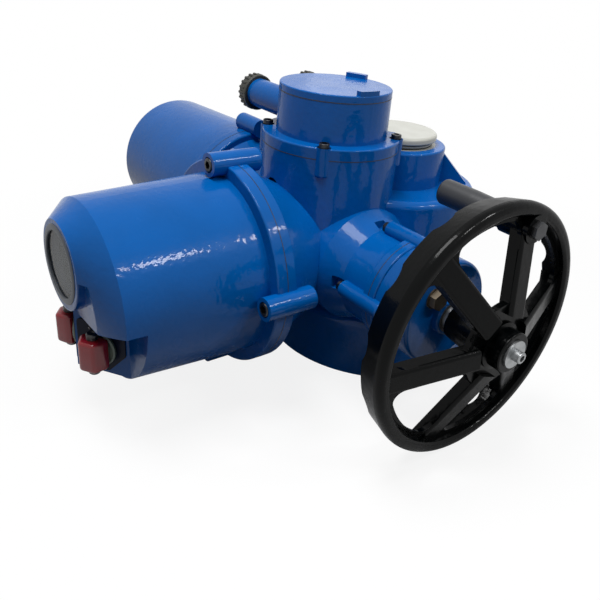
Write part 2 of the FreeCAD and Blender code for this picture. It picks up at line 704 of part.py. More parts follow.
def make_worm_wheel():
    """Slanted teeth that lie in the worm's thread at the mid-plane."""
    lead = degrees(atan2(PITCH, 2 * pi * WORM_PITCH_R))
    slope = tan(radians(lead)) / WHEEL_PITCH_R
    flank = tan(radians(20))
    pitch_half = (PITCH / 2 - BACKLASH) / 2
    tip_half = pitch_half - MODULE * flank
    root_half = pitch_half + 1.25 * MODULE * flank

    def outline(z):
        pts = []
        turn = slope * (z - AXIS_Z)
        for k in range(TEETH):
            mid = -pi / 2 + 2 * pi * k / TEETH + turn
            for r, half in ((WHEEL_ROOT_R, -root_half), (WHEEL_TIP_R, -tip_half),
                            (WHEEL_TIP_R, tip_half), (WHEEL_ROOT_R, root_half)):
                a = mid + half / WHEEL_PITCH_R
                pts.append(V(r * cos(a), r * sin(a), z))
        return Part.makePolygon(pts + [pts[0]])

    top = WHEEL_LOW + WHEEL_W
    blank = Part.makeLoft([outline(WHEEL_LOW), outline(top)], True, True)
    bore = rod(WHEEL_BORE_R, V(0, 0, WHEEL_LOW - 1), Z, WHEEL_W + 2)
    web_r = (WHEEL_BORE_R + 12, WHEEL_ROOT_R - 9)
    web = WHEEL_WEB_CUT
    cut = [bore, ring(web_r[1], web_r[0], V(0, 0, WHEEL_LOW - 1), Z, web + 1),
           ring(web_r[1], web_r[0], V(0, 0, top - web), Z, web + 1)]
    return blank.cut(Part.makeCompound(cut))


def make_worm_shaft():
    """Shaft from the motor's tail bearing to the clutch dogs, with the worm's thread cut on it."""
    flank = tan(radians(20))
    pitch_half = (PITCH / 2 - BACKLASH) / 2
    tip_half = pitch_half - MODULE * flank
    base_r = WORM_ROOT_R - 0.5
    root_half = pitch_half + (WORM_PITCH_R - base_r) * flank
    thread_l = WORM_L - PITCH
    helix = Part.makeHelix(PITCH, thread_l, WORM_PITCH_R)
    section = Part.makePolygon([V(base_r, 0, -root_half), V(WORM_TIP_R, 0, -tip_half),
                                V(WORM_TIP_R, 0, tip_half), V(base_r, 0, root_half),
                                V(base_r, 0, -root_half)])
    thread = Part.Wire(helix).makePipeShell([section], True, True)
    # the thread's gap between turns faces the wheel tooth that points at the worm
    turn = FreeCAD.Rotation(Z, X)
    thread.Placement = FreeCAD.Placement(at(-thread_l / 2), turn)
    thread.rotate(MAIN, X, THREAD_TURN)
    step = TAIL_BEARING_X + TAIL_BEARING_W + 2
    spans = [(TAIL_BEARING_X - 2, WORM_TAIL_R, step), (step, WORM_SHAFT_R, -WORM_L / 2 - 8),
             (-WORM_L / 2 - 8, WORM_ROOT_R, WORM_L / 2 + 8), (WORM_L / 2 + 8, WORM_SHAFT_R, WORM_DOG_X)]
    shapes = [rod(r, at(x0), X, x1 - x0) for x0, r, x1 in spans]
    shapes.append(dog_crown(WORM_DOG_X, 0.0))
    return joined(shapes).fuse(thread).removeSplitter()


def dog_crown(x, first, toward=1):
    """Disc with four dog teeth on the face that looks at the other crown."""
    disc = rod(DOG_R, at(x), X, DOG_L / 2)
    teeth = []
    start = x + DOG_L / 2 if toward > 0 else x - DOG_L / 2
    for k in range(DOG_TEETH):
        tooth = Part.makeBox(DOG_L / 2, DOG_W, DOG_FACE_W + 3, at(start, -DOG_W / 2, DOG_R - DOG_FACE_W))
        tooth.rotate(MAIN, X, first + 360.0 * k / DOG_TEETH)
        teeth.append(tooth)
    whole = joined([disc] + teeth)
    return whole.common(rod(DOG_R, at(x - DOG_L), X, 3 * DOG_L))


def make_worm_bearings():
    left = bearing(WORM_BORE_R, WORM_SHAFT_R + FIT, at(-WORM_BEARING_X - WORM_BEARING_W), X, WORM_BEARING_W)
    right = bearing(WORM_BORE_R, WORM_SHAFT_R + FIT, at(WORM_BEARING_X), X, WORM_BEARING_W)
    tail = bearing(TAIL_BEARING_R, WORM_TAIL_R + FIT, at(TAIL_BEARING_X), X, TAIL_BEARING_W)
    return Part.makeCompound([left, right, tail])


def make_torque_springs():
    """Pack of disc springs that gives way when the worm is overloaded."""
    start = WORM_BEARING_X + WORM_BEARING_W
    room = WORM_SPACER_END - start
    count = 6
    pitch = room / count
    discs = []
    for k in range(count):
        x = start + k * pitch
        rise = pitch / 2 if k % 2 else -pitch / 2
        mid = x + pitch / 2
        a = mid - rise / 2
        b = mid + rise / 2
        t = pitch / 2
        profile = [(WORM_BORE_R - 1, a - t / 2), (WORM_BORE_R - 1, a + t / 2),
                   (WORM_SHAFT_R + 2, b + t / 2), (WORM_SHAFT_R + 2, b - t / 2)]
        discs.append(turned(profile, MAIN, X))
    return Part.makeCompound(discs)


def make_motor_housing():
    length = MOTOR_JOINT_X - MOTOR_END_X
    shell = taper(MOTOR_END_R, MOTOR_R, at(MOTOR_END_X), X, length)
    shell = rounded(shell, MOTOR_END_EDGE, circle_at(MOTOR_END_R, X, MOTOR_END_X))
    shapes = [shell]
    start = MOTOR_JOINT_X - MOTOR_FLANGE_W
    flange = rod(MOTOR_FLANGE_R, at(start), X, MOTOR_FLANGE_W)
    shapes.append(rounded(flange, 3, circle_at(MOTOR_FLANGE_R, X, start)))
    for p in around(4, MOTOR_LUG_PCR, X):
        lug = rod(MOTOR_LUG_R, at(MOTOR_JOINT_X - MOTOR_LUG_L) + p, X, MOTOR_LUG_L)
        shapes.append(rounded(lug, 2, circle_at(MOTOR_LUG_R, X, MOTOR_JOINT_X - MOTOR_LUG_L)))
    body = joined(shapes)
    room = rod(MOTOR_END_R - MOTOR_WALL, at(MOTOR_END_X + MOTOR_END_WALL), X, length)
    seat = rod(TAIL_BEARING_R + TAIL_BEARING_BOSS, at(MOTOR_END_X), X, TAIL_BEARING_X + TAIL_BEARING_W - MOTOR_END_X)
    body = body.cut(room.cut(seat))
    body = body.cut(rod(TAIL_BEARING_R, at(TAIL_BEARING_X), X, TAIL_BEARING_W + 1))
    body = body.cut(rod(WORM_TAIL_R + 2, at(TAIL_BEARING_X - 4), X, 5))
    for p in around(4, MOTOR_LUG_PCR, X):
        body = body.cut(rod(LUG_SCREW_D / 2 + FIT, at(MOTOR_JOINT_X - MOTOR_LUG_L - 1) + p, X, MOTOR_LUG_L + 2))
        body = body.cut(rod(LUG_SINK_R, at(MOTOR_JOINT_X - MOTOR_LUG_L - 1) + p, X, LUG_SINK + 1))
    return body


def make_motor_screws():
    seat = MOTOR_JOINT_X - MOTOR_LUG_L + LUG_SINK
    return Part.makeCompound([socket_screw(LUG_SCREW_D, MOTOR_JOINT_X - seat + LUG_SCREW_IN, at(seat) + p, X)
                              for p in around(4, MOTOR_LUG_PCR, X)])


def make_motor_stator():
    """Laminated core seated in the housing, with a winding head at each end."""
    core = ring(STATOR_R, STATOR_BORE_R, at(STATOR_X), X, STATOR_L)
    heads = []
    for x0, sign in ((STATOR_X, -1), (STATOR_X + STATOR_L, 1)):
        profile = [(STATOR_BORE_R + 4, 0), (STATOR_R - 8, 0), (STATOR_R - 10, sign * (WINDING_H - 2)),
                   (STATOR_BORE_R + 9, sign * WINDING_H), (STATOR_BORE_R + 5, sign * (WINDING_H - 4))]
        heads.append(turned(profile, at(x0), X))
    return joined([core] + heads)


def make_motor_rotor():
    core = ring(STATOR_BORE_R - AIR_GAP, WORM_SHAFT_R, at(STATOR_X + 2), X, STATOR_L - 4)
    rings = [ring(STATOR_BORE_R - 3, STATOR_BORE_R - 15, at(x), X, 8)
             for x in (STATOR_X - 6, STATOR_X + STATOR_L - 2)]
    return joined([core] + rings)


def make_terminal_housing():
    z0 = TERMINAL_JOINT_Z
    flange = rod(TERMINAL_NECK_R, V(0, AXIS_Y, z0), Z, TERMINAL_FLANGE_H)
    flange = rounded(flange, 2, circle_at(TERMINAL_NECK_R, Z, z0 + TERMINAL_FLANGE_H))
    flange = flange.cut(rod(CAP_RELIEF_R, V(0, 0, z0 - 1), Z, TERMINAL_FLANGE_H + 2))
    shapes = [flange, taper(TERMINAL_R, TERMINAL_TOP_R, V(0, AXIS_Y, z0), Z, LID_SEAM_Z - z0)]
    for p in around(4, TERMINAL_LUG_PCR, Z, 45):
        shapes.append(rod(TERMINAL_LUG_R, V(0, AXIS_Y, z0) + p, Z, TERMINAL_FLANGE_H))
    for side in (-1, 1):
        start = V(CONDUIT_END_X, AXIS_Y + side * CONDUIT_Y, CONDUIT_Z)
        shapes.append(rod(CONDUIT_R, start, X, -CONDUIT_END_X - 30))
    body = joined(shapes)
    body = body.cut(rod(CAP_RELIEF_R, V(0, 0, z0 - 1), Z, CAP_TOP + 2 - z0))
    body = body.cut(rod(TERMINAL_ROOM_R, V(0, AXIS_Y, z0 + TERMINAL_FLOOR), Z, LID_SEAM_Z))
    body = body.cut(rod(BLOCK_HOLE_R + 4, V(0, AXIS_Y, z0 - 1), Z, TERMINAL_FLOOR + 2))
    for side in (-1, 1):
        start = V(CONDUIT_END_X - 1, AXIS_Y + side * CONDUIT_Y, CONDUIT_Z)
        body = body.cut(rod(CONDUIT_HOLE_R, start, X, -CONDUIT_END_X - 25))
    for p in around(4, TERMINAL_LUG_PCR, Z, 45):
        body = body.cut(rod(TERMINAL_SCREW_D / 2 + FIT, V(0, AXIS_Y, z0 - 1) + p, Z, TERMINAL_FLANGE_H + 2))
        seat = z0 + TERMINAL_FLANGE_H - TERMINAL_SCREW_SINK
        body = body.cut(rod(TERMINAL_SCREW_D, V(0, AXIS_Y, seat) + p, Z, 2 * TERMINAL_SCREW_D))
    return body


def make_terminal_screws():
    seat = TERMINAL_JOINT_Z + TERMINAL_FLANGE_H - TERMINAL_SCREW_SINK
    return Part.makeCompound([socket_screw(TERMINAL_SCREW_D, TERMINAL_SCREW_L, V(0, AXIS_Y, seat) + p, V(0, 0, -1))
                              for p in around(4, TERMINAL_LUG_PCR, Z, 45)])


def make_terminal_lid():
    room_r = TERMINAL_ROOM_R
    lid = rod(TERMINAL_TOP_R, V(0, AXIS_Y, LID_SEAM_Z), Z, LID_TOP_Z - LID_SEAM_Z)
    lid = rounded(lid, 1.5, circle_at(TERMINAL_TOP_R, Z, LID_TOP_Z))
    plug = ring(room_r - FIT, room_r - 8, V(0, AXIS_Y, LID_SEAM_Z - LID_THREAD_H), Z, LID_THREAD_H)
    lugs = []
    for angle in LID_ANGLES:
        lug = box(TERMINAL_TOP_R - WALL, TERMINAL_TOP_R + 1, -LID_LUG_W / 2, LID_LUG_W / 2, LID_TOP_Z - 2,
                  LID_TOP_Z + LID_LUG_H)
        lug.rotate(V(0, 0, 0), Z, angle)
        lug.translate(V(0, AXIS_Y, 0))
        lugs.append(lug.common(rod(TERMINAL_TOP_R - 0.5, V(0, AXIS_Y, LID_SEAM_Z), Z, LID_H + LID_LUG_H)))
    return joined([lid, plug] + lugs)


def make_terminal_block():
    """Round board with a ring of terminals."""
    floor = TERMINAL_JOINT_Z + TERMINAL_FLOOR
    board_r = TERMINAL_ROOM_R - BLOCK_MARGIN
    shapes = [ring(board_r, BLOCK_HOLE_R, V(0, AXIS_Y, floor), Z, BLOCK_H)]
    for k in range(POSTS):
        post = box(board_r - 4 - POST_L, board_r - 4, -POST_W / 2, POST_W / 2, floor + BLOCK_H - 1,
                   floor + BLOCK_H + POST_H)
        post.rotate(V(0, 0, 0), Z, 360.0 * k / POSTS)
        post.translate(V(0, AXIS_Y, 0))
        shapes.append(post)
    return joined(shapes)


def make_conduit_plugs():
    plugs = []
    for side in (-1, 1):
        start = V(CONDUIT_END_X, AXIS_Y + side * CONDUIT_Y, CONDUIT_Z)
        head = rod(PLUG_R, start - X * PLUG_H, X, PLUG_H)
        head = rounded(head, 4, circle_at(PLUG_R, X, start.x - PLUG_H))
        head = rounded(head, 1.5, circle_at(PLUG_R, X, start.x))
        shank = rod(CONDUIT_HOLE_R - FIT, start - X, X, PLUG_SHANK + 1)
        plugs.append(joined([head, shank]))
    return Part.makeCompound(plugs)


def oblique_nose():
    """Frustum from the cover's front circle to the raised bezel."""
    front = Part.Wire(Part.makeCircle(COVER_FRONT_R, V(0, COVER_FRONT_Y, AXIS_Z), V(0, -1, 0)))
    bezel = Part.Wire(Part.makeCircle(BEZEL_R, V(0, BEZEL_Y, AXIS_Z + BEZEL_RISE), V(0, -1, 0)))
    return Part.makeLoft([front, bezel], True, True)


def facet_cut():
    """Wedge that leaves a flat facet on each side below the window boss."""
    half = COVER_FRONT_R + 10
    low = AXIS_Z + POCKET_MID_Z
    slope = FACET_RISE / FACET_RUN
    top = low + FACET_RUN + 20
    pts = [(FACET_Y + 0.5, low - 5), (FACET_Y - slope * (top - low), top), (BEZEL_Y - 20, top), (BEZEL_Y - 20, low - 5)]
    pts = [V(-half, y, z) for y, z in pts]
    wedge = Part.Face(Part.makePolygon(pts + [pts[0]])).extrude(X * (2 * half))
    boss = rod(BOSS_R, V(0, BEZEL_Y - 30, AXIS_Z + BEZEL_RISE), Y, 200)
    upper = box(-half, half, BEZEL_Y - 30, COVER_FRONT_Y + 50, AXIS_Z + BEZEL_RISE, AXIS_Z + 2 * half)
    return wedge.cut(boss).cut(upper)


def pocket_cut():
    """Room for the selectors, under a ceiling that falls towards the middle."""
    half = COVER_FRONT_R + 11
    pts = [(-half, POCKET_END_Z), (-POCKET_KNEE_X, POCKET_KNEE_Z), (0, POCKET_MID_Z), (POCKET_KNEE_X, POCKET_KNEE_Z),
           (half, POCKET_END_Z), (half, -half), (-half, -half)]
    pts = [V(x, BEZEL_Y - 10, AXIS_Z + z) for x, z in pts]
    return Part.Face(Part.makePolygon(pts + [pts[0]])).extrude(Y * (SHOULDER_Y - BEZEL_Y + 10))


def prow():
    """Wedge with an upright ridge in front and one slanted flank on each side, standing on the shoulder."""
    half = PROW_OUT / PLAN_TAN
    back = COVER_ROOM_Y - 1
    pts = [V(0, PROW_Y, 0), V(half, SHOULDER_Y, 0), V(half, back, 0), V(-half, back, 0), V(-half, SHOULDER_Y, 0)]
    plan = Part.Face(Part.makePolygon(pts + [pts[0]]))
    block = plan.extrude(V(0, 0, POCKET_KNEE_Z + 1 - PROW_LOW))
    block.translate(V(0, 0, AXIS_Z + PROW_LOW))
    return block.common(rod(COVER_FRONT_R, V(0, PROW_Y - 1, AXIS_Z), Y, COVER_ROOM_Y - PROW_Y))


def make_control_cover():
    """Tapered pot with the window boss, the two facets under it and the selector prow."""
    length = COVER_L - CONTROL_FLANGE_H
    shapes = [taper(COVER_FRONT_R, COVER_R, V(0, COVER_FRONT_Y, AXIS_Z), Y, length), oblique_nose()]
    flange_y = CONTROL_JOINT_Y - CONTROL_FLANGE_H
    flange = rod(CONTROL_FLANGE_R, V(0, flange_y, AXIS_Z), Y, CONTROL_FLANGE_H)
    shapes.append(rounded(flange, 2, circle_at(CONTROL_FLANGE_R, Y, flange_y)))
    for p in around(4, CONTROL_LUG_PCR, Y):
        shapes.append(rod(CONTROL_LUG_R, V(0, CONTROL_LUG_FRONT, AXIS_Z) + p, Y, CONTROL_LUG_L))
    body = joined(shapes)
    body = body.cut(facet_cut())
    body = joined([body.cut(pocket_cut()), prow()])
    cuts = [rod(COVER_FRONT_R - COVER_WALL, V(0, COVER_ROOM_Y, AXIS_Z), Y, COVER_L),
            rod(WINDOW_R, V(0, BEZEL_Y - 1, AXIS_Z + BEZEL_RISE), Y, WINDOW_SEAT + 1),
            rod(WINDOW_HOLE_R, V(0, BEZEL_Y - 1, AXIS_Z + BEZEL_RISE), Y, COVER_ROOM_Y - BEZEL_Y + 2)]
    for p in around(4, CONTROL_LUG_PCR, Y):
        cuts.append(rod(LUG_SCREW_D / 2 + FIT, V(0, CONTROL_LUG_FRONT - 1, AXIS_Z) + p, Y, CONTROL_LUG_L + 2))
        cuts.append(rod(LUG_SINK_R, V(0, CONTROL_LUG_FRONT - 1, AXIS_Z) + p, Y, LUG_SINK + 1))
    for side in (-1, 1):
        cuts.append(rod(KNOB_PIN_R, knob_seat(side), -knob_normal(side), KNOB_PIN_IN + 1))
    for cut in cuts:
        body = body.cut(cut)
    return body


def knob_normal(side):
    """Direction in which a slanted flank faces, away from the cover."""
    a = radians(PROW_ANGLE)
    return V(side * sin(a), -cos(a), 0)


def knob_seat(side):
    """Point of the knob's axis on the slanted flank."""
    return V(side * KNOB_OUT, PROW_Y + KNOB_OUT * PLAN_TAN, AXIS_Z + KNOB_DROP)


def make_control_screws():
    seat = CONTROL_LUG_FRONT + LUG_SINK
    return Part.makeCompound([socket_screw(LUG_SCREW_D, CONTROL_JOINT_Y - seat + CONTROL_SCREW_IN,
                                           V(0, seat, AXIS_Z) + p, Y)
                              for p in around(4, CONTROL_LUG_PCR, Y)])


def make_window_glass():
    return rod(WINDOW_R - FIT, V(0, BEZEL_Y + 1, AXIS_Z + BEZEL_RISE), Y, WINDOW_SEAT - 1)


def make_selector_plates():
    """Scale plate on each slanted flank, with the hole for the selector's pin."""
    slope_l = PROW_OUT / sin(radians(PROW_ANGLE))
    high = POCKET_MID_Z - 2 - PLATE_EDGE
    low = PROW_LOW + PLATE_EDGE
    plates = []
    for side in (-1, 1):
        n = knob_normal(side)
        along = V(side * cos(radians(PROW_ANGLE)), sin(radians(PROW_ANGLE)), 0)
        ridge = V(0, PROW_Y, AXIS_Z)
        pts = [ridge + along * s + Z * z for s, z in ((PLATE_EDGE, low), (slope_l * 0.62, low), (slope_l - PLATE_EDGE, low + 22),
                                                      (slope_l - PLATE_EDGE, high), (PLATE_EDGE, high))]
        plate = Part.Face(Part.makePolygon(pts + [pts[0]])).extrude(n * PLATE_T)
        plate = rounded(plate, PLATE_CORNER, lambda e: abs(abs(e.tangentAt(e.FirstParameter).dot(n)) - 1) < 0.01)
        plates.append(plate.cut(rod(KNOB_PIN_R + FIT, knob_seat(side) - n, n, PLATE_T + 2)))
    return Part.makeCompound(plates)


def make_selector_pins():
    pins = []
    for side in (-1, 1):
        n = knob_normal(side)
        top = KNOB_BASE_H + PLATE_T + GAP
        stem = rod(KNOB_PIN_R, knob_seat(side) - n * KNOB_PIN_IN, n, KNOB_PIN_IN + top + 1)
        head = rod(KNOB_PIN_R + 2, knob_seat(side) + n * (top + FIT), n, KNOB_PIN_HEAD)
        pins.append(joined([stem, head]))
    return Part.makeCompound(pins)


def make_knob(side):
    """Round base with a prow-shaped grip and a dark roller at each end."""
    grip = Part.Face(Part.makePolygon([
        V(-KNOB_GRIP_W / 2, 0, 0), V(KNOB_GRIP_W / 2, 0, 0), V(KNOB_GRIP_W / 2 - 2, 0, 5),
        V(4.5, 0, KNOB_GRIP_H), V(-4.5, 0, KNOB_GRIP_H), V(-KNOB_GRIP_W / 2 + 2, 0, 5),
        V(-KNOB_GRIP_W / 2, 0, 0)])).extrude(V(0, KNOB_GRIP_L, 0))
    grip.translate(V(0, -KNOB_GRIP_L / 2, KNOB_BASE_H))
    disc = rounded(rod(KNOB_R, V(0, 0, 0), Z, KNOB_BASE_H), 1.2, circle_at(KNOB_R, Z, KNOB_BASE_H))
    shapes = [disc, grip]
    for end in (-1, 1):
        y = end * (KNOB_GRIP_L + KNOB_END_L) / 2
        roller = rod(KNOB_END_R, V(0, y - KNOB_END_L / 2, KNOB_BASE_H + KNOB_END_R + 1), Y, KNOB_END_L)
        shapes.append(roller)
    body = joined(shapes)
    body = body.cut(rod(KNOB_PIN_R + FIT, V(0, 0, -1), Z, KNOB_BASE_H + 2))
    body = body.cut(rod(KNOB_PIN_R + 2 + GAP, V(0, 0, KNOB_BASE_H), Z, 2 * KNOB_PIN_HEAD))
    n = knob_normal(side)
    across = V(cos(radians(PROW_ANGLE)), side * sin(radians(PROW_ANGLE)), 0)
    turn = FreeCAD.Rotation(across, Z, n, "ZXY")
    body.Placement = FreeCAD.Placement(knob_seat(side) + n * (PLATE_T + GAP), turn)
    return body


def make_control_chassis():
    """Plate on the gearcase flange with four pillars for the boards."""
    r = COVER_FRONT_R - COVER_WALL - CHASSIS_MARGIN
    shapes = [rod(r, V(0, CONTROL_JOINT_Y - CHASSIS_T, AXIS_Z), Y, CHASSIS_T)]
    for p in around(4, r - PILLAR_IN, Y, 45):
        shapes.append(rod(PILLAR_R, V(0, BOARD_Y, AXIS_Z) + p, Y, CONTROL_JOINT_Y - CHASSIS_T / 2 - BOARD_Y))
    return joined(shapes)


def make_control_board():
    """Round board with relays and connectors on the window's side."""
    r = COVER_FRONT_R - COVER_WALL - BOARD_MARGIN
    front = BOARD_Y - BOARD_T
    shapes = [rod(r, V(0, front, AXIS_Z), Y, BOARD_T)]
    for u, v, w, h, t in ((-0.35, -0.42, 0.4, 0.26, 0.16), (0.28, -0.52, 0.3, 0.2, 0.12),
                          (-0.55, 0.2, 0.24, 0.35, 0.14), (0.55, 0.1, 0.3, 0.28, 0.1)):
        x, z, dx, dz = u * r, AXIS_Z + v * r, w * r / 2, h * r / 2
        shapes.append(box(x - dx, x + dx, front - t * r, front + 1, z - dz, z + dz))
    return joined(shapes)


def make_power_module():
    """Transformer on the chassis plate."""
    back = CONTROL_JOINT_Y - CHASSIS_T
    core = box(-CORE_W / 2, CORE_W / 2, back - CORE_D, back, AXIS_Z - CORE_H / 2, AXIS_Z + CORE_H / 2)
    coil_h = CORE_H / 2 + COIL_RISE
    coil = box(-COIL_W / 2, COIL_W / 2, back - CORE_D - COIL_STEP, back - COIL_STEP, AXIS_Z - coil_h, AXIS_Z + coil_h)
    coil = rounded(coil, COIL_STEP, lambda e: abs(e.tangentAt(e.FirstParameter).x) > 0.99)
    return joined([core, coil])


def make_display_module():
    """Round display carrier on two posts that stand on the board."""
    front = BEZEL_Y + WINDOW_SEAT + DISPLAY_BACK
    z = AXIS_Z + BEZEL_RISE
    carrier = rod(WINDOW_HOLE_R - 1, V(0, front, z), Y, DISPLAY_T)
    screen = box(-SCREEN_W / 2, SCREEN_W / 2, front - 1.6, front + 1, z - SCREEN_H / 2, z + SCREEN_H / 2)
    shapes = [carrier, screen]
    post_y = front + DISPLAY_T - 1
    for x in (-DISPLAY_POST_X, DISPLAY_POST_X):
        shapes.append(rod(DISPLAY_POST_R, V(x, post_y, z), Y, BOARD_Y - BOARD_T - post_y))
    return joined(shapes)


def make_hand_cover():
    """Casting in front of the clutch, which carries the hand shaft."""
    body = rod(HAND_COVER_R, at(HAND_JOINT_X), X, HAND_COVER_L)
    body = rounded(body, HAND_COVER_EDGE, circle_at(HAND_COVER_R, X, HAND_FACE_X))
    joint = rod(HAND_RING_R, at(HAND_JOINT_X), X, HAND_RING_W)
    joint = rounded(joint, 2, circle_at(HAND_RING_R, X, HAND_JOINT_X + HAND_RING_W))
    boss = rod(HAND_BOSS_R, at(HAND_FACE_X - 4), X, HAND_BOSS_H + 4)
    boss = rounded(boss, 2, circle_at(HAND_BOSS_R, X, HAND_BOSS_X))
    shapes = [body, joint, boss]
    for p in around(4, HAND_LUG_PCR, X):
        lug = rod(HAND_LUG_R, at(HAND_JOINT_X) + p, X, HAND_LUG_FRONT)
        shapes.append(rounded(lug, 3, circle_at(HAND_LUG_R, X, HAND_JOINT_X + HAND_LUG_FRONT)))
    body = joined(shapes)
    wall_x = HAND_FACE_X - WALL
    cuts = [rod(HAND_COVER_R - WALL, at(HAND_JOINT_X - 1), X, HAND_COVER_L - WALL + 1),
            rod(HAND_SHAFT_R + BUSH_WALL, at(wall_x - 1), X, WALL + HAND_BOSS_H + 2),
            rod(LEVER_PIN_R + FIT, at(wall_x - 1, LEVER_Y, LEVER_Z), X, WALL + 2),
            rod(PLUG_THREAD_R, at(wall_x - 1, PLUG_Y, PLUG_Z), X, WALL + 2)]
    for p in around(4, HAND_LUG_PCR, X):
        cuts.append(rod(HAND_SCREW_D / 2 + FIT, at(HAND_JOINT_X - 1) + p, X, HAND_SCREW_IN + 3))
    for cut in cuts:
        body = body.cut(cut)
    return body


def make_filler_plug():
    start = at(HAND_FACE_X, PLUG_Y, PLUG_Z)
    washer = rod(PLUG_WASHER_R, start, X, PLUG_WASHER_T)
    head = hexagon(PLUG_HEX, start + X * PLUG_WASHER_T, X, PLUG_HEX_H)
    shank = rod(PLUG_THREAD_R, start - X * (WALL - 1), X, WALL + 1)
    return joined([washer, head, shank])


def make_hand_screws():
    return Part.makeCompound([socket_screw(HAND_SCREW_D, HAND_LUG_L + HAND_SCREW_IN, at(HAND_LUG_X) + p, X)
                              for p in around(4, HAND_LUG_PCR, X)])


def make_hand_bush():
    return ring(HAND_SHAFT_R + BUSH_WALL, HAND_SHAFT_R + FIT, at(HAND_FACE_X - WALL - BUSH_L), X, BUSH_L + WALL)


def make_hand_seal():
    return ring(HAND_SHAFT_R + BUSH_WALL, HAND_SHAFT_R + FIT, at(HAND_FACE_X), X, HAND_BOSS_H)


def make_hand_shaft():
    """Shaft from the clutch to the hub, with a collar behind the bush."""
    collar_r = HAND_SHAFT_R + HAND_COLLAR_W
    collar_end = HAND_COLLAR_X + HAND_COLLAR_W
    start = CLUTCH_X - CLUTCH_TRAVEL + GAP
    profile = [(0, start), (HAND_SHAFT_R, start), (HAND_SHAFT_R, HAND_COLLAR_X), (collar_r, HAND_COLLAR_X),
               (collar_r, collar_end), (HAND_SHAFT_R, collar_end), (HAND_SHAFT_R, HUB_BACK_X),
               (HUB_BORE_R, HUB_BACK_X), (HUB_BORE_R, HUB_FACE_X - 2), (0, HUB_FACE_X - 2)]
    shaft = turned(profile, MAIN, X)
    return shaft.cut(rod(HUB_SCREW_D / 2, at(HUB_FACE_X - HUB_SCREW_L - 2), X, HUB_SCREW_L + 8))


def rim():
    """Rim of channel section, open towards the actuator, with finger waves on both back edges."""
    f, b = WHEEL_FRONT_X, WHEEL_BACK_X
    out_lip = WHEEL_R - RIM_T - 1
    in_lip = WHEEL_LIP_R + RIM_T - 1
    profile = [(WHEEL_BACK_R, b), (WHEEL_R, f - RIM_EDGE - 2), (WHEEL_R, f), (WHEEL_LIP_R, f), (WHEEL_INNER_R, RIM_INNER_X),
               (WHEEL_INNER_R + RIM_T, RIM_INNER_X), (in_lip, f - RIM_T - 2), (out_lip, f - RIM_T - 2),
               (WHEEL_BACK_R - RIM_T, b)]
    body = turned(profile, MAIN, X)
    body = rounded(body, RIM_EDGE, circle_at(WHEEL_R, X, f))
    body = rounded(body, RIM_LIP_EDGE, circle_at(WHEEL_LIP_R, X, f))
    for k in range(RIM_WAVES):
        angle = radians(SPOKE_ANGLE + 15 + 360.0 * k / RIM_WAVES)
        along = V(0, cos(angle), sin(angle))
        for edge_x, r0, r1 in ((b, WHEEL_INNER_R + RIM_T + 1, WHEEL_R + 8), (RIM_INNER_X, WHEEL_INNER_R - 5, in_lip)):
            start = at(edge_x - RIM_WAVE_R + RIM_WAVE_DEPTH) + along * r0
            body = body.cut(rod(RIM_WAVE_R, start, along, r1 - r0))
    return body


def spoke():
    """Upright spoke of channel section with rounded front corners, from the hub disc out and back to the rim."""
    def section(r, x):
        half = SPOKE_W / 2
        inner = half - SPOKE_WALL_T
        deep = SPOKE_T + SPOKE_WALL_H
        pts = [(-half, 0), (half, 0), (half, -deep), (inner, -deep), (inner, -SPOKE_T), (-inner, -SPOKE_T),
               (-inner, -deep), (-half, -deep)]
        pts = [at(x + d, s, r) for s, d in pts]
        return Part.makePolygon(pts + [pts[0]])
    arm = Part.makeLoft([section(SPOKE_ROOT_R, SPOKE_ROOT_X), section(SPOKE_END_R, SPOKE_RIM_X)], True, True)
    middle = MAIN.x + (SPOKE_ROOT_X + SPOKE_RIM_X) / 2
    length = SPOKE_END_R - SPOKE_ROOT_R
    return rounded(arm, SPOKE_EDGE, lambda e: e.Length > 0.9 * length and e.CenterOfMass.x > middle - 1)


def spoke_gap(k):
    """Opening between two spokes, with round corners, as a prism along the wheel's axis."""
    half = SPOKE_W / 2
    step = 2 * pi / SPOKES
    first = radians(SPOKE_ANGLE) + k * step

    def corner(r, side):
        turn = first if side > 0 else first + step
        a = turn + side * atan2(half, sqrt(r * r - half * half))
        return at(0, r * cos(a), r * sin(a))

    def middle(r):
        a = first + step / 2
        return at(0, r * cos(a), r * sin(a))
    outer = Part.Arc(corner(GAP_OUT_R, 1), middle(GAP_OUT_R), corner(GAP_OUT_R, -1)).toShape()
    inner = Part.Arc(corner(GAP_IN_R, -1), middle(GAP_IN_R), corner(GAP_IN_R, 1)).toShape()
    sides = [Part.makeLine(corner(GAP_IN_R, 1), corner(GAP_OUT_R, 1)),
             Part.makeLine(corner(GAP_OUT_R, -1), corner(GAP_IN_R, -1))]
    face = Part.Face(Part.Wire([sides[0], outer, sides[1], inner]))
    prism = face.extrude(X * (HUB_FACE_X - WHEEL_BACK_X))
    prism.translate(X * WHEEL_BACK_X)

    def upright(e, outside):
        if abs(e.tangentAt(e.FirstParameter).x) < 0.99:
            return False
        away = e.CenterOfMass - MAIN
        far = sqrt(away.y ** 2 + away.z ** 2) > (GAP_IN_R + GAP_OUT_R) / 2
        return far == outside
    prism = rounded(prism, GAP_CORNER_R, lambda e: upright(e, True))
    return rounded(prism, GAP_ROOT_R, lambda e: upright(e, False))


def web_ring():
    """Dished web that is left as a corner between each spoke and the rim."""
    r0 = GAP_OUT_R - 2 * GAP_CORNER_R
    fall = (SPOKE_ROOT_X - SPOKE_RIM_X) / (SPOKE_END_R - SPOKE_ROOT_R)
    x1 = SPOKE_RIM_X - WEB_BACK
    x0 = x1 + fall * (SPOKE_END_R - r0)
    return turned([(r0, x0), (SPOKE_END_R, x1), (SPOKE_END_R, x1 - WEB_T), (r0, x0 - WEB_T)], MAIN, X)


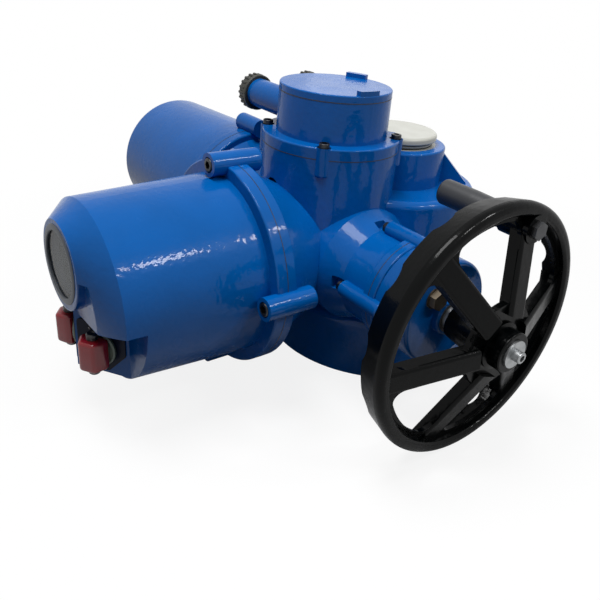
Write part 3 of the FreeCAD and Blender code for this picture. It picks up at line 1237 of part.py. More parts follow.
def make_handwheel():
    """Hub with its disc, six channel spokes and the channel rim, cast in one piece."""
    web = web_ring()
    disc = turned([(HUB_BORE_R, HUB_DISC_X), (HUB_DISC_R - 6, HUB_DISC_X), (HUB_DISC_R + 4, HUB_DISC_X + 2),
                   (HUB_DISC_R + 3, HUB_FRONT_X), (HUB_R + 4, HUB_FRONT_X), (HUB_R + 4, HUB_FRONT_X + 3),
                   (HUB_R, HUB_FRONT_X + 4), (HUB_R, HUB_FACE_X), (HUB_BORE_R, HUB_FACE_X)], MAIN, X)
    disc = rounded(disc, 1.5, circle_at(HUB_R, X, HUB_FACE_X))
    for k in range(SPOKES):
        gap = spoke_gap(k)
        web = web.cut(gap)
        disc = disc.cut(gap)
    barrel = turned([(HUB_BORE_R, HUB_BACK_X), (HUB_R - 2, HUB_BACK_X), (HUB_R + 4, HUB_DISC_X + 1),
                     (HUB_BORE_R, HUB_DISC_X + 1)], MAIN, X)
    shapes = [rim(), web, disc, barrel]
    for k in range(SPOKES):
        arm = spoke()
        arm.rotate(MAIN, X, SPOKE_ANGLE - 90 + 360.0 * k / SPOKES)
        shapes.append(arm)
    place = handle_place()
    boss_front = handle_boss_x()
    shapes.append(rod(HANDLE_BOSS_R, at(HANDLE_BACK_X + GAP) + place, X, boss_front - HANDLE_BACK_X - GAP))
    body = joined(shapes)
    body = body.cut(ring(2 * WHEEL_R, WHEEL_R + FIT, at(WHEEL_BACK_X - WALL), X, RIM_W + 2 * WALL))
    body = body.cut(rod(HANDLE_PIN_R, at(HANDLE_BACK_X - 1) + place, X, boss_front - HANDLE_BACK_X + 2))
    return body.cut(rod(HUB_BORE_R, at(HUB_BACK_X - 1), X, HUB_FACE_X - HUB_BACK_X + 2))


def handle_place():
    """The crank handle's axis, on the first spoke."""
    a = radians(SPOKE_ANGLE)
    return Y * (HANDLE_PCR * cos(a)) + Z * (HANDLE_PCR * sin(a))


def handle_boss_x():
    """Front of the handle's boss, just proud of the spoke at the boss's inner side."""
    fall = (SPOKE_ROOT_X - SPOKE_RIM_X) / (SPOKE_END_R - SPOKE_ROOT_R)
    return SPOKE_RIM_X + fall * (SPOKE_END_R - HANDLE_PCR + HANDLE_BOSS_R) + 0.5


def make_hub_screw():
    return socket_screw(HUB_SCREW_D, HUB_SCREW_L, at(HUB_FACE_X + HUB_WASHER_T), V(-1, 0, 0))


def make_hub_washer():
    return ring(HUB_BORE_R + HUB_WASHER_LAP, HUB_SCREW_D / 2 + FIT, at(HUB_FACE_X), X, HUB_WASHER_T)


def make_crank_handle():
    """Barrel handle that turns on its bolt, with a recess for the bolt's head."""
    bore = HANDLE_PIN_R + FIT
    profile = [(bore, 0), (HANDLE_R, 0), (HANDLE_R, HANDLE_L / 2), (HANDLE_R - 1.5, HANDLE_L), (bore, HANDLE_L)]
    start = at(HANDLE_END_X) + handle_place()
    body = turned(profile, start, X)
    body = rounded(body, 3, circle_at(HANDLE_R, X, HANDLE_END_X))
    body = rounded(body, 2, circle_at(HANDLE_R - 1.5, X, HANDLE_BACK_X))
    return body.cut(rod(HANDLE_HEAD_R + FIT * 10, start - X, X, HANDLE_HEAD_H + 3))


def make_handle_bolt():
    """Shoulder bolt from inside the handle, with its nut in front of the boss."""
    start = at(HANDLE_END_X + 2) + handle_place()
    boss_front = handle_boss_x()
    head = rod(HANDLE_HEAD_R, start, X, HANDLE_HEAD_H - FIT)
    stem = rod(HANDLE_PIN_R, start + X * (HANDLE_HEAD_H - 1), X, boss_front - HANDLE_END_X - HANDLE_HEAD_H)
    nut = hexagon(HANDLE_NUT, at(boss_front) + handle_place(), X, HANDLE_NUT_H)
    return joined([head, stem, nut])


def make_clutch_ring():
    """Sliding ring on the hand shaft, with dogs towards the worm and a groove for the shift fork."""
    groove = CLUTCH_X + CLUTCH_GROOVE_X
    groove_r = CLUTCH_R - CLUTCH_GROOVE_D
    body = turned([(HAND_SHAFT_R + FIT, CLUTCH_X), (CLUTCH_R, CLUTCH_X), (CLUTCH_R, groove), (groove_r, groove),
                   (groove_r, groove + CLUTCH_GROOVE_W), (CLUTCH_R, groove + CLUTCH_GROOVE_W),
                   (CLUTCH_R, CLUTCH_X + CLUTCH_L), (HAND_SHAFT_R + FIT, CLUTCH_X + CLUTCH_L)], MAIN, X)
    teeth = []
    for k in range(DOG_TEETH):
        tooth = Part.makeBox(DOG_L / 2 + 1, DOG_W, DOG_FACE_W, at(CLUTCH_X - DOG_L / 2, -DOG_W / 2, DOG_R - DOG_FACE_W))
        tooth.rotate(MAIN, X, (k + 0.5) * 360.0 / DOG_TEETH)
        teeth.append(tooth)
    return joined([body] + teeth)


def make_declutch_lever():
    """Outside arm and its shaft through the cover."""
    pin = at(0, LEVER_Y, LEVER_Z)
    arm = box(-LEVER_W / 2, LEVER_W / 2, 0, LEVER_L, 0, LEVER_T)
    arm = arm.fuse(rod(LEVER_W / 2, V(0, 0, 0), Z, LEVER_T)).removeSplitter()
    arm = rounded(arm, 5, lambda e: abs(e.tangentAt(e.FirstParameter).z) > 0.99 and e.CenterOfMass.y > LEVER_L - 1)
    arm = arm.cut(rod(LEVER_EYE_R, V(0, LEVER_L - LEVER_W * 0.6, -1), Z, LEVER_T + 2))
    aim = radians(LEVER_AIM)
    turn = FreeCAD.Rotation(V(0, sin(aim), -cos(aim)), V(0, cos(aim), sin(aim)), X, "ZXY")
    arm.Placement = FreeCAD.Placement(pin + X * LEVER_X, turn)
    start = HAND_JOINT_X + WALL
    shaft = rod(LEVER_PIN_R, pin + X * start, X, LEVER_X + LEVER_T + 2 - start)
    return joined([arm, shaft])


def main():
    os.makedirs("parts", exist_ok=True)
    save("thrust_base", make_thrust_base())
    save("thrust_base_screws", make_base_screws())
    save("gearcase", make_gearcase())
    save("stem_cap", make_stem_cap())
    save("stem_cap_seal", make_stem_cap_seal())
    save("drive_sleeve", make_drive_sleeve())
    save("stem_nut", make_stem_nut())
    save("column_bearings", make_column_bearings())
    save("bearing_nut", make_bearing_nut())
    save("output_seal", make_output_seal())
    save("worm_wheel", make_worm_wheel())
    save("worm_shaft", make_worm_shaft())
    save("worm_bearings", make_worm_bearings())
    save("torque_springs", make_torque_springs())
    save("motor_housing", make_motor_housing())
    save("motor_screws", make_motor_screws())
    save("motor_stator", make_motor_stator())
    save("motor_rotor", make_motor_rotor())
    save("terminal_housing", make_terminal_housing())
    save("terminal_housing_screws", make_terminal_screws())
    save("terminal_lid", make_terminal_lid())
    save("terminal_block", make_terminal_block())
    save("conduit_plugs", make_conduit_plugs())
    save("control_cover", make_control_cover())
    save("control_cover_screws", make_control_screws())
    save("window_glass", make_window_glass())
    save("selector_plates", make_selector_plates())
    save("selector_pins", make_selector_pins())
    save("mode_knob", make_knob(-1))
    save("command_knob", make_knob(1))
    save("control_chassis", make_control_chassis())
    save("control_board", make_control_board())
    save("power_module", make_power_module())
    save("display_module", make_display_module())
    save("hand_drive_cover", make_hand_cover())
    save("hand_drive_screws", make_hand_screws())
    save("filler_plug", make_filler_plug())
    save("hand_shaft_bush", make_hand_bush())
    save("hand_shaft_seal", make_hand_seal())
    save("hand_shaft", make_hand_shaft())
    save("handwheel", make_handwheel())
    save("hub_screw", make_hub_screw())
    save("hub_washer", make_hub_washer())
    save("crank_handle", make_crank_handle())
    save("handle_bolt", make_handle_bolt())
    save("clutch_ring", make_clutch_ring())
    save("declutch_lever", make_declutch_lever())


main()
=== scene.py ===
from math import cos, pi, radians, sin, tan

import bmesh
import bpy
from mathutils import Matrix, Vector


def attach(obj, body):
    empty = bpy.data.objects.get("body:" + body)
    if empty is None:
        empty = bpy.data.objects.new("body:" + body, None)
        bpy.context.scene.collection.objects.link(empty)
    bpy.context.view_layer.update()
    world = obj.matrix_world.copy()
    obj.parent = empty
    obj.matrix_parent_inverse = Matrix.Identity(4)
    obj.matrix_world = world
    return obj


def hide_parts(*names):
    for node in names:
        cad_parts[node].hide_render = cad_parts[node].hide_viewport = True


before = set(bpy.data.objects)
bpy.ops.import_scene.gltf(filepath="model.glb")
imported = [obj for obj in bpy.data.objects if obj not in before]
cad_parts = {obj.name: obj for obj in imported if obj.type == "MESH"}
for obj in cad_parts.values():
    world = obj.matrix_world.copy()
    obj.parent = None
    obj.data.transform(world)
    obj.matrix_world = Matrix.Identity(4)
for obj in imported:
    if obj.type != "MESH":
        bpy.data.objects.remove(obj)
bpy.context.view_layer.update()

# Electric valve actuator, dressed for a photograph. Metres, in the frame of the solids: the
# valve's stem stands on the origin, +X runs to the handwheel and -Y to the control cover.
MM = 0.001
X = Vector((1, 0, 0))
Y = Vector((0, 1, 0))
Z = Vector((0, 0, 1))

# The worm's axis runs along X through this Y and Z, in millimetres
WORM_Y = -113
WORM_Z = 152


def tint(hex_code):
    """Linear colour of an sRGB hex value."""
    out = []
    for k in (0, 2, 4):
        c = int(hex_code[k:k + 2], 16) / 255
        out.append(c / 12.92 if c <= 0.04045 else ((c + 0.055) / 1.055) ** 2.4)
    return (out[0], out[1], out[2], 1.0)


def grain(size_mm):
    """Texture scale at which one feature measures the given size."""
    return 1000.0 / size_mm


def add(tree, kind, inputs=None, **settings):
    """Add a shader node, set its properties, and set or link its inputs."""
    made = tree.nodes.new("ShaderNode" + kind)
    for key, value in settings.items():
        setattr(made, key, value)
    for socket, value in (inputs or {}).items():
        if isinstance(value, bpy.types.NodeSocket):
            tree.links.new(value, made.inputs[socket])
        else:
            made.inputs[socket].default_value = value
    return made


def new_material(name, **shader_values):
    """Material with one shader, its object coordinates, and the values that don't vary."""
    mat = bpy.data.materials.new(name)
    mat.use_nodes = True
    tree = mat.node_tree
    tree.nodes.clear()
    shader = add(tree, "BsdfPrincipled", shader_values)
    add(tree, "OutputMaterial", {"Surface": shader.outputs["BSDF"]})
    coords = add(tree, "TexCoord").outputs["Object"]
    return mat, tree, shader, coords


def wire(tree, shader, socket, source):
    """Feed one of the shader's inputs."""
    tree.links.new(source, shader.inputs[socket])


def mottle(tree, shader, coords, size_mm, detail, shade, dark):
    """Let the colour drift between two shades, in patches of the given size."""
    patch = add(tree, "TexNoise", {"Vector": coords, "Scale": grain(size_mm), "Detail": detail})
    mix = add(tree, "Mix", {"Factor": patch.outputs["Fac"], "A": tint(shade), "B": tint(dark)},
              data_type="RGBA")
    wire(tree, shader, "Base Color", mix.outputs["Result"])
    return patch.outputs["Fac"]


def gloss_paint(name, shade, dark, peel_mm, peel, cast, rough, coat, sheen):
    """Sprayed paint: even colour, orange peel on top, and the grain of what it covers below."""
    mat, tree, shader, coords = new_material(name, **{
        "Coat Weight": coat, "Coat Roughness": 0.035, "IOR": 1.5, "Specular IOR Level": sheen})
    mottle(tree, shader, coords, 70, 2.0, shade, dark)
    scuff = add(tree, "TexNoise", {"Vector": coords, "Scale": grain(24), "Detail": 4.0,
                                   "Roughness": 0.6})
    band = add(tree, "MapRange", {"Value": scuff.outputs["Fac"], "From Min": 0.3, "From Max": 0.7,
                                  "To Min": rough * 0.8, "To Max": rough * 1.25})
    wire(tree, shader, "Roughness", band.outputs["Result"])
    skin = add(tree, "TexNoise", {"Vector": coords, "Scale": grain(peel_mm), "Detail": 1.0})
    sand = add(tree, "TexNoise", {"Vector": coords, "Scale": grain(1.6), "Detail": 2.0})
    low = add(tree, "Bump", {"Height": sand.outputs["Fac"], "Strength": cast, "Distance": 0.0002})
    top = add(tree, "Bump", {"Height": skin.outputs["Fac"], "Strength": peel, "Distance": 0.0006,
                             "Normal": low.outputs["Normal"]})
    wire(tree, shader, "Normal", top.outputs["Normal"])
    wire(tree, shader, "Coat Normal", top.outputs["Normal"])
    return mat


def plated_metal(name, shade, dark, rough, line_mm, line):
    """Plated or turned metal: fine tool lines under an even bright skin."""
    mat, tree, shader, coords = new_material(name, Metallic=1.0)
    patch = mottle(tree, shader, coords, 9, 3.0, shade, dark)
    band = add(tree, "MapRange", {"Value": patch, "To Min": rough * 0.75, "To Max": rough * 1.3})
    wire(tree, shader, "Roughness", band.outputs["Result"])
    lines = add(tree, "TexNoise", {"Vector": coords, "Scale": grain(line_mm), "Detail": 1.0})
    bump = add(tree, "Bump", {"Height": lines.outputs["Fac"], "Strength": line, "Distance": 0.0001})
    wire(tree, shader, "Normal", bump.outputs["Normal"])
    return mat


def moulded(name, shade, dark, rough, grain_mm, depth):
    """Moulded plastic or rubber with the mould's fine spark-eroded grain."""
    mat, tree, shader, coords = new_material(name, IOR=1.49)
    patch = mottle(tree, shader, coords, 18, 3.0, shade, dark)
    band = add(tree, "MapRange", {"Value": patch, "To Min": rough * 0.85, "To Max": rough * 1.15})
    wire(tree, shader, "Roughness", band.outputs["Result"])
    skin = add(tree, "TexNoise", {"Vector": coords, "Scale": grain(grain_mm), "Detail": 2.0})
    bump = add(tree, "Bump", {"Height": skin.outputs["Fac"], "Strength": depth, "Distance": 0.0002})
    wire(tree, shader, "Normal", bump.outputs["Normal"])
    return mat


def tinted_pane(name, shade, dark):
    """Toughened glass with a fine haze. Its anti-glare face mirrors little: a low IOR."""
    mat, tree, shader, coords = new_material(name, **{"IOR": 1.12, "Transmission Weight": 0.9})
    haze = mottle(tree, shader, coords, 15, 3.0, shade, dark)
    band = add(tree, "MapRange", {"Value": haze, "To Min": 0.03, "To Max": 0.08})
    wire(tree, shader, "Roughness", band.outputs["Result"])
    return mat


# Gloss enamel sprayed on the aluminium castings: deep blue, with rippled streaks of light
blue_enamel = gloss_paint(
    "blue_enamel_on_cast_aluminium", "005EB0", "004D90",
    peel_mm=7.0, peel=0.50, cast=0.14, rough=0.24, coat=0.22, sheen=0.05)
# Stoved enamel on the cast handwheel: near black, with soft gleams along its edges
black_enamel = gloss_paint(
    "black_enamel_on_cast_iron", "010202", "020304",
    peel_mm=9.0, peel=0.36, cast=0.25, rough=0.30, coat=0.15, sheen=0.03)
# Powder coat on the pressed steel lever: dull light grey, finely pebbled
lever_coat = gloss_paint(
    "grey_powder_coated_steel", "9FA5A3", "8C9291",
    peel_mm=1.5, peel=0.15, cast=0.1, rough=0.42, coat=0.1, sheen=0.35)
# Screen-printed sheet behind each selector: smooth dark navy
plate_paint = gloss_paint(
    "navy_printed_aluminium_plate", "0A132B", "070E20",
    peel_mm=3.0, peel=0.05, cast=0.02, rough=0.30, coat=0.06, sheen=0.05)
# Clear-passivated zinc on bought screws and washers: dull silver grey
zinc = plated_metal("zinc_plated_steel", "A6A8A9", "7B7E80", rough=0.36, line_mm=0.8, line=0.05)
# Oiled black screws of the lugs, worn bright on their edges
black_screw = plated_metal("blackened_steel", "4A4B4D", "2B2C2E", rough=0.34, line_mm=0.7, line=0.2)
# Lathe-turned shafts and nuts: bright, with fine rings
turned_steel = plated_metal("turned_steel", "BFC1C3", "A5A8AB", rough=0.30, line_mm=0.5, line=0.15)
# Ground rings of rolling bearings: smoother and brighter still
bearing_steel = plated_metal("ground_bearing_steel", "C6C7C8", "B2B4B6", rough=0.20, line_mm=0.4, line=0.05)
# Cast tin bronze, turned and cut: warm yellow brown
bronze = plated_metal("turned_bronze", "B98848", "A57638", rough=0.32, line_mm=0.6, line=0.12)
# Brass oil plug, tarnished to a dull brown
plug_brass = plated_metal("tarnished_brass", "6E6455", "4A4238", rough=0.42, line_mm=0.9, line=0.2)
# Milled chassis sheet: even satin grey
chassis_metal = plated_metal("milled_aluminium", "B4B6B8", "A2A5A8", rough=0.35, line_mm=0.6, line=0.1)
# Laminations and winding under brown insulating varnish
motor_iron = moulded("varnished_motor_iron", "4A423A", "39332D", rough=0.45, grain_mm=1.2, depth=0.3)
# Moulded cap, cream grey and a little yellowed by light
cap_plastic = moulded("cream_grey_abs", "BDBEB6", "B1B1A8", rough=0.36, grain_mm=0.9, depth=0.1)
# Turning grip of filled nylon: dark grey and half matt
handle_plastic = moulded("dark_grey_nylon", "26282D", "1D1F23", rough=0.42, grain_mm=0.7, depth=0.15)
# Travel plugs that close the cable entries: matt olive black
plug_plastic = moulded("olive_black_nylon", "26271F", "1A1B15", rough=0.45, grain_mm=0.8, depth=0.2)
# Seals and cord rings: matt black
seal_rubber = moulded("black_nitrile_rubber", "141414", "0E0E0E", rough=0.6, grain_mm=0.9, depth=0.25)
# Selector grips, through-coloured and glossy from the mould
knob_red = moulded("red_abs", "9C1824", "85121D", rough=0.25, grain_mm=1.0, depth=0.06)
# Selector bases: half matt grey green
knob_green = moulded("grey_green_abs", "59665A", "4A564B", rough=0.38, grain_mm=0.9, depth=0.1)
# Rollers at the ends of the grips: waxy black
roller_black = moulded("black_acetal", "17181A", "101113", rough=0.32, grain_mm=0.8, depth=0.1)
# White ink of the position marks and of the dial
mark_ink = moulded("white_screen_ink", "D9DADB", "CDCECF", rough=0.55, grain_mm=0.6, depth=0.05)
# Terminal carrier: hard half matt black
terminal_plastic = moulded("black_phenolic", "2A2A2A", "202020", rough=0.45, grain_mm=1.0, depth=0.15)
# Epoxy board under green solder mask
board_green = moulded("green_circuit_laminate", "1E5B34", "184B2A", rough=0.4, grain_mm=1.5, depth=0.1)
# Potted modules: dull dark grey
module_black = moulded("black_potting_plastic", "2B2C2E", "222325", rough=0.5, grain_mm=1.0, depth=0.1)
# Clamping ring of the window: matt slate grey
bezel_grey = moulded("dark_grey_bezel_rubber", "3A4048", "2F343B", rough=0.5, grain_mm=0.8, depth=0.15)
# Window pane: dark at a glance, clear enough straight on to show the dial
glass = tinted_pane("toughened_glass", "727D82", "677176")

FINISH = {
    "gearcase": blue_enamel, "thrust_base": blue_enamel, "motor_housing": blue_enamel,
    "terminal_housing": blue_enamel, "terminal_lid": blue_enamel, "control_cover": blue_enamel,
    "hand_drive_cover": blue_enamel, "stem_cap": cap_plastic, "thrust_base_screws": zinc,
    "motor_screws": black_screw, "terminal_housing_screws": black_screw,
    "control_cover_screws": black_screw, "hand_drive_screws": black_screw,
    "stem_cap_seal": seal_rubber, "output_seal": seal_rubber, "hand_shaft_seal": seal_rubber,
    "column_bearings": bearing_steel, "worm_bearings": bearing_steel, "bearing_nut": turned_steel,
    "torque_springs": turned_steel, "drive_sleeve": turned_steel, "worm_shaft": turned_steel,
    "hand_shaft": turned_steel, "clutch_ring": turned_steel, "selector_pins": turned_steel,
    "worm_wheel": bronze, "stem_nut": bronze, "hand_shaft_bush": bronze,
    "motor_stator": motor_iron, "motor_rotor": motor_iron, "terminal_block": terminal_plastic,
    "conduit_plugs": plug_plastic, "window_glass": glass, "selector_plates": plate_paint,
    "control_chassis": chassis_metal, "control_board": board_green, "power_module": module_black,
    "display_module": module_black, "filler_plug": plug_brass, "handwheel": black_enamel,
    "hub_screw": zinc, "hub_washer": zinc, "handle_bolt": black_screw,
    "crank_handle": handle_plastic, "declutch_lever": lever_coat, "mode_knob": knob_red,
    "command_knob": knob_red,
}
for node_name, finish in FINISH.items():
    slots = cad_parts[node_name].data.materials
    slots.clear()
    slots.append(finish)

# Faces that meet at more than this keep a crisp edge
CRISP_EDGE = radians(38)


def piece(name, shape, body, finish):
    """Turn a bmesh into a smooth-shaded piece that rides on a body."""
    bmesh.ops.recalc_face_normals(shape, faces=shape.faces)
    mesh = bpy.data.meshes.new(name)
    shape.to_mesh(mesh)
    shape.free()
    mesh.materials.append(finish)
    mesh.polygons.foreach_set("use_smooth", [True] * len(mesh.polygons))
    mesh.set_sharp_from_angle(angle=CRISP_EDGE)
    made = bpy.data.objects.new(name, mesh)
    bpy.context.collection.objects.link(made)
    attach(made, body)
    return made


def absorb(whole, part):
    """Move a finished part into the bmesh of a larger piece."""
    loose = bpy.data.meshes.new("loose")
    part.to_mesh(loose)
    part.free()
    whole.from_mesh(loose)
    bpy.data.meshes.remove(loose)


def seated(x, y, z, axis, up):
    """Place in millimetres whose Z runs along the axis and whose Y is nearest to the given up."""
    across = up.cross(axis).normalized()
    turn = Matrix((across, axis.cross(across), axis)).transposed().to_4x4()
    return Matrix.Translation(Vector((x, y, z)) * MM) @ turn


def lathe(profile, place, steps=72):
    """Spin a closed (radius, height) outline in millimetres about the place's Z."""
    shape = bmesh.new()
    corners = [shape.verts.new((r * MM, 0, h * MM)) for r, h in profile]
    sides = [shape.edges.new(pair) for pair in zip(corners, corners[1:] + corners[:1])]
    bmesh.ops.spin(shape, geom=corners + sides, cent=(0, 0, 0), axis=(0, 0, 1), angle=2 * pi,
                   steps=steps, use_merge=True)
    bmesh.ops.remove_doubles(shape, verts=shape.verts, dist=1e-7)
    bmesh.ops.transform(shape, matrix=place, verts=shape.verts)
    return shape


def block(shape, size, place, edge, steps):
    """Box of the given size in millimetres on the place's XY plane, with rounded edges."""
    made = bmesh.ops.create_cube(shape, size=1.0)["verts"]
    bmesh.ops.scale(shape, vec=[v * MM for v in size], verts=made)
    bmesh.ops.translate(shape, vec=(0, 0, size[2] * MM / 2), verts=made)
    sides = list({e for v in made for e in v.link_edges})
    out = bmesh.ops.bevel(shape, geom=sides, offset=edge * MM, segments=steps, profile=0.5,
                          affect="EDGES", material=-1)
    corners = list({v for f in out["faces"] for v in f.verts} | {v for v in made if v.is_valid})
    bmesh.ops.transform(shape, matrix=place, verts=corners)


# Rubber cords that show as a dark line in each flange joint: place, axis, up, and the radii
# between which the cord stands
JOINT_CORDS = {
    "control_joint_cord": ((0, -250, WORM_Z), Y, Z, 118.6, 119.15),
    "motor_joint_cord": ((-172, WORM_Y, WORM_Z), X, Z, 98.6, 99.15),
    "hand_joint_cord": ((160, WORM_Y, WORM_Z), X, Z, 61.6, 62.15),
    "terminal_joint_cord": ((0, WORM_Y, 280), Z, Y, 81.6, 82.15),
    "lid_cord": ((0, WORM_Y, 339), Z, Y, 65.2, 65.7),
}
for name, (spot, axis, up, inner, outer) in JOINT_CORDS.items():
    section = [(inner, -0.55), (outer, -0.4), (outer, 0.4), (inner, 0.55)]
    cord = lathe(section, seated(*spot, axis, up), 160)
    piece(name, cord, "housing", seal_rubber)

# Clamping ring round the window, with its inner step down to the glass
WINDOW_Z = 189
WINDOW_Y = -446
ring_profile = [(34.6, -1.0), (34.6, 0.5), (35.4, 1.3), (39.6, 1.3), (41.2, 0.4), (41.2, -0.5)]
window_ring = lathe(ring_profile, seated(0, WINDOW_Y, WINDOW_Z, -Y, Z), 128)
piece("window_ring", window_ring, "housing", bezel_grey)

# Travel scale on the dial behind the glass, with a long mark after every five short ones
DIAL_Y = -433.1
DIAL_R = 28
DIAL_MARKS = 25
DIAL_SWEEP = 240
LONG_EVERY = 6
dial = bmesh.new()
dial_place = seated(0, DIAL_Y, WINDOW_Z, -Y, Z)
for k in range(DIAL_MARKS):
    angle = radians(-DIAL_SWEEP / 2 + DIAL_SWEEP * k / (DIAL_MARKS - 1))
    length = 3.4 if k % LONG_EVERY == 0 else 1.9
    outwards = Matrix.Translation((0, (DIAL_R - length / 2) * MM, 0))
    spot = dial_place @ Matrix.Rotation(-angle, 4, "Z") @ outwards
    block(dial, (0.7, length, 0.3), spot, 0.1, 1)
piece("dial_marks", dial, "housing", mark_ink)

# Selectors on the two slanted flanks of the cover's nose: a round base, a wedge-shaped grip,
# a roller at each end of it, and on the plate a short mark for each place it clicks into
FLANK = radians(35)
RIDGE_Y = -437
SELECTOR_X = 25
SELECTOR_Z = 99
BASE_RISE = 1.9
MARK_SINK = 0.35
MARK_R = 23.2
GRIP_L = 35
GRIP_FLOOR = 5
ROLLER_REACH = 17.0
ROLLER_Z = 12
base_profile = [(3.4, 0), (19.2, 0), (20, 0.8), (20, 3.2), (18.6, 4.6), (14.0, 4.6), (13.4, 5.0),
                (6.0, 5.0), (5.4, 4.4), (3.4, 4.4)]
grip_outline = [(-15.2, 0), (15.2, 0), (15.6, 6.5), (9.0, 20.0), (-9.0, 20.0), (-15.6, 6.5)]
roller_profile = [(0, 0), (5.6, 0), (6, 0.5), (6, 2.2), (5.5, 2.6), (5.5, 3.6), (6, 4.0), (6, 6.2),
                  (5, 7.2), (2.6, 7.2), (2.2, 6.6), (0, 6.6)]
SELECTORS = {"mode_knob": (-1, (-45, 0, 45)), "command_knob": (1, (-30, 0, 30))}


def wedge_grip(place):
    """Wedge with well-rounded edges that the fingers turn."""
    grip = bmesh.new()
    start = [grip.verts.new((x * MM, -GRIP_L / 2 * MM, (GRIP_FLOOR + h) * MM)) for x, h in grip_outline]
    grown = bmesh.ops.extrude_face_region(grip, geom=[grip.faces.new(start)])
    far = [v for v in grown["geom"] if isinstance(v, bmesh.types.BMVert)]
    bmesh.ops.translate(grip, vec=(0, GRIP_L * MM, 0), verts=far)
    bmesh.ops.recalc_face_normals(grip, faces=grip.faces)
    bmesh.ops.bevel(grip, geom=grip.edges[:], offset=3.6 * MM, segments=6, profile=0.5,
                    affect="EDGES", material=-1)
    bmesh.ops.transform(grip, matrix=place, verts=grip.verts)
    return grip


for body, (side, clicks) in SELECTORS.items():
    out = Vector((side * sin(FLANK), -cos(FLANK), 0))
    foot = Vector((side * SELECTOR_X, RIDGE_Y + SELECTOR_X * tan(FLANK), SELECTOR_Z)) + out * BASE_RISE
    place = seated(*foot, out, Z)
    knob_base = piece(body + "_base", lathe(base_profile, place, 96), body, knob_green)
    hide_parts(body)
    piece(body + "_grip", wedge_grip(place), body, knob_red)
    rollers = bmesh.new()
    for end in (-1, 1):
        tip = Matrix.Translation((0, end * ROLLER_REACH * MM, ROLLER_Z * MM))
        absorb(rollers, lathe(roller_profile, place @ tip @ Matrix.Rotation(-end * pi / 2, 4, "X"), 40))
    piece(body + "_rollers", rollers, body, roller_black)
    marks = bmesh.new()
    plate_place = seated(*(foot - out * MARK_SINK), out, Z)
    for click in clicks:
        spot = plate_place @ Matrix.Rotation(radians(click), 4, "Z") @ Matrix.Translation((0, MARK_R * MM, 0))
        block(marks, (1.0, 2.6, 0.35), spot, 0.1, 1)
    piece(body + "_marks", marks, "housing", mark_ink)

# Ribbed travel plugs in the cable entries
ENTRY_X = -98
ENTRY_Z = 319
ENTRY_APART = 80
PLUG_RIBS = 20
RIB_R = 20.2
plug_profile = [(0, -17), (12.6, -17), (12.6, 0), (20.2, 0), (21.2, 1.0), (21.2, 3.4), (20, 4.2),
                (20, 14.2), (17, 16.6), (9, 16.6), (8.2, 15.6), (0, 15.6)]
plugs = bmesh.new()
for side in (-1, 1):
    place = seated(ENTRY_X, WORM_Y + side * ENTRY_APART / 2, ENTRY_Z, -X, Z)
    head = lathe(plug_profile, place, 96)
    for k in range(PLUG_RIBS):
        turn = Matrix.Rotation(2 * pi * k / PLUG_RIBS, 4, "Z")
        block(head, (3.0, 3.2, 10.6), place @ turn @ Matrix.Translation((RIB_R * MM, 0, 4 * MM)), 1.1, 3)
    absorb(plugs, head)
ribbed_plugs = piece("ribbed_plugs", plugs, "housing", plug_plastic)
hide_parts("conduit_plugs")

# Washer under each terminal housing screw
SCREW_CIRCLE_R = 77
WASHER_Z = 290
washer_profile = [(4.4, 0), (7.2, 0), (7.2, 1.2), (4.4, 1.2)]
washers = bmesh.new()
for k in range(4):
    angle = radians(45 + 90 * k)
    spot = Vector((SCREW_CIRCLE_R * cos(angle), WORM_Y + SCREW_CIRCLE_R * sin(angle), WASHER_Z))
    absorb(washers, lathe(washer_profile, Matrix.Translation(spot * MM), 32))
piece("terminal_washers", washers, "housing", zinc)


def looking(tree):
    """1 for rays that see a backdrop: the camera's, and those that metal and glass pass on."""
    path = add(tree, "LightPath").outputs
    seen = add(tree, "Math", {0: path["Is Camera Ray"], 1: path["Is Glossy Ray"]}, operation="MAXIMUM")
    seen = add(tree, "Math", {0: seen.outputs[0], 1: path["Is Transmission Ray"]}, operation="MAXIMUM")
    return path["Is Camera Ray"], seen.outputs[0]


# Plain floor, white to the camera away from the object, and a quiet grey to the light it bounces
bpy.ops.mesh.primitive_plane_add(size=24.0, location=(0, 0, 0))
floor = bpy.context.object
floor.name = "floor"
floor_mat, floor_tree, floor_shader, floor_coords = new_material("pale_floor", Roughness=0.7)
by_camera, by_any = looking(floor_tree)
shade = add(floor_tree, "Mix", {"Factor": by_any, "A": tint("5C5E62"), "B": tint("F6F6F6")},
            data_type="RGBA")
wire(floor_tree, floor_shader, "Base Color", shade.outputs["Result"])
far_off = add(floor_tree, "VectorMath", {0: floor_coords}, operation="LENGTH").outputs["Value"]
fade = add(floor_tree, "MapRange", {"Value": far_off, "From Min": 0.3, "From Max": 0.8,
                                    "To Min": 0.86, "To Max": 1.0})
near = add(floor_tree, "Math", {0: fade.outputs["Result"], 1: by_camera}, operation="MULTIPLY")
edge = add(floor_tree, "MapRange", {"Value": far_off, "From Min": 0.3, "From Max": 1.2})
wide = add(floor_tree, "Math", {0: edge.outputs["Result"], 1: by_any}, operation="MULTIPLY")
share = add(floor_tree, "Math", {0: near.outputs[0], 1: wide.outputs[0]}, operation="MAXIMUM")
glow = add(floor_tree, "Emission", {"Color": (1, 1, 1, 1), "Strength": 1.0})
both = add(floor_tree, "MixShader", {"Fac": share.outputs[0], 1: floor_shader.outputs["BSDF"],
                                     2: glow.outputs["Emission"]})
floor_out = [n for n in floor_tree.nodes if n.type == "OUTPUT_MATERIAL"][0]
floor_tree.links.new(both.outputs["Shader"], floor_out.inputs["Surface"])
floor.data.materials.append(floor_mat)

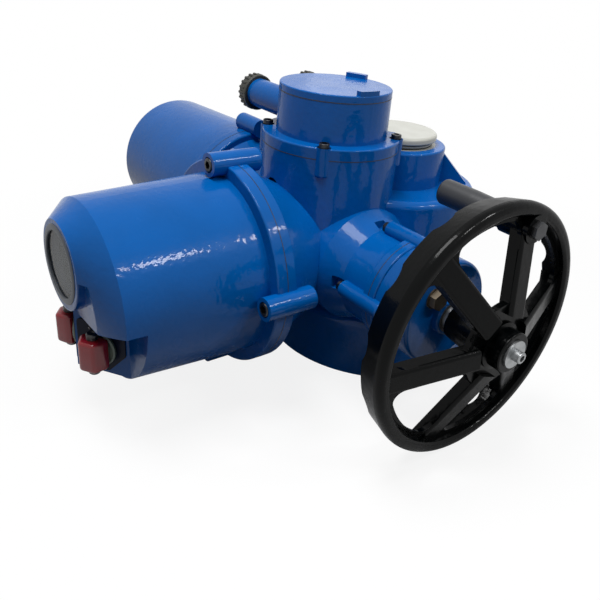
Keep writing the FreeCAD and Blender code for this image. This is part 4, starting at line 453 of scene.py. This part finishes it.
# White backdrop that lights the object only a little
world = bpy.data.worlds.new("daylight")
bpy.context.scene.world = world
world.use_nodes = True
sky_tree = world.node_tree
sky_tree.nodes.clear()
level = add(sky_tree, "MapRange", {"Value": looking(sky_tree)[1], "To Min": 0.16, "To Max": 1.0})
sky = add(sky_tree, "Background", {"Color": (1, 1, 1, 1), "Strength": level.outputs["Result"]})
add(sky_tree, "OutputWorld", {"Surface": sky.outputs["Background"]})


def lamp(name, place, aim, width, height, power):
    """Soft box that looks at a point. Sizes in metres, power in watts."""
    data = bpy.data.lights.new(name, "AREA")
    data.shape = "RECTANGLE"
    data.size = width
    data.size_y = height
    data.energy = power
    box = bpy.data.objects.new(name, data)
    box.location = place
    box.rotation_euler = (Vector(aim) - Vector(place)).to_track_quat("-Z", "Y").to_euler()
    bpy.context.collection.objects.link(box)


# Broad light from above, two small skylights that draw the streaks on the cover and its flange,
# and a low window behind the motor that edges the lid
lamp("overhead", (0.0, -0.62, 2.0), (0, -0.15, 0.15), 1.0, 0.7, 34)
lamp("front_skylight", (1.25, 0.20, 1.42), (0.08, -0.38, 0.21), 0.24, 0.14, 4.6)
lamp("rear_skylight", (1.10, 0.66, 1.42), (0.08, -0.29, 0.21), 0.26, 0.14, 5.4)
lamp("left_window", (-0.95, 1.2, 0.75), (0.05, -0.1, 0.3), 1.0, 0.30, 0.6)

# Camera, fitted to the circles of the photograph
AZIMUTH, ELEVATION, ROLL = 50.938, 28.409, 5.263
FOCAL_PX = 661.72
FRAME_PX = 600
SENSOR_MM = 36.0
camera_data = bpy.data.cameras.new("camera")
camera_data.sensor_width = SENSOR_MM
camera_data.sensor_fit = "HORIZONTAL"
camera_data.lens = FOCAL_PX / FRAME_PX * SENSOR_MM
camera_data.clip_start = 0.01
camera = bpy.data.objects.new("camera", camera_data)
turn = Matrix.Rotation(radians(AZIMUTH), 4, "Z") @ Matrix.Rotation(radians(90 - ELEVATION), 4, "X")
stand = Matrix.Translation((0.60224, -0.62599, 0.4885))
camera.matrix_world = stand @ turn @ Matrix.Rotation(radians(ROLL), 4, "Z")
bpy.context.collection.objects.link(camera)
bpy.context.scene.camera = camera
bpy.context.scene.view_settings.view_transform = "Standard"
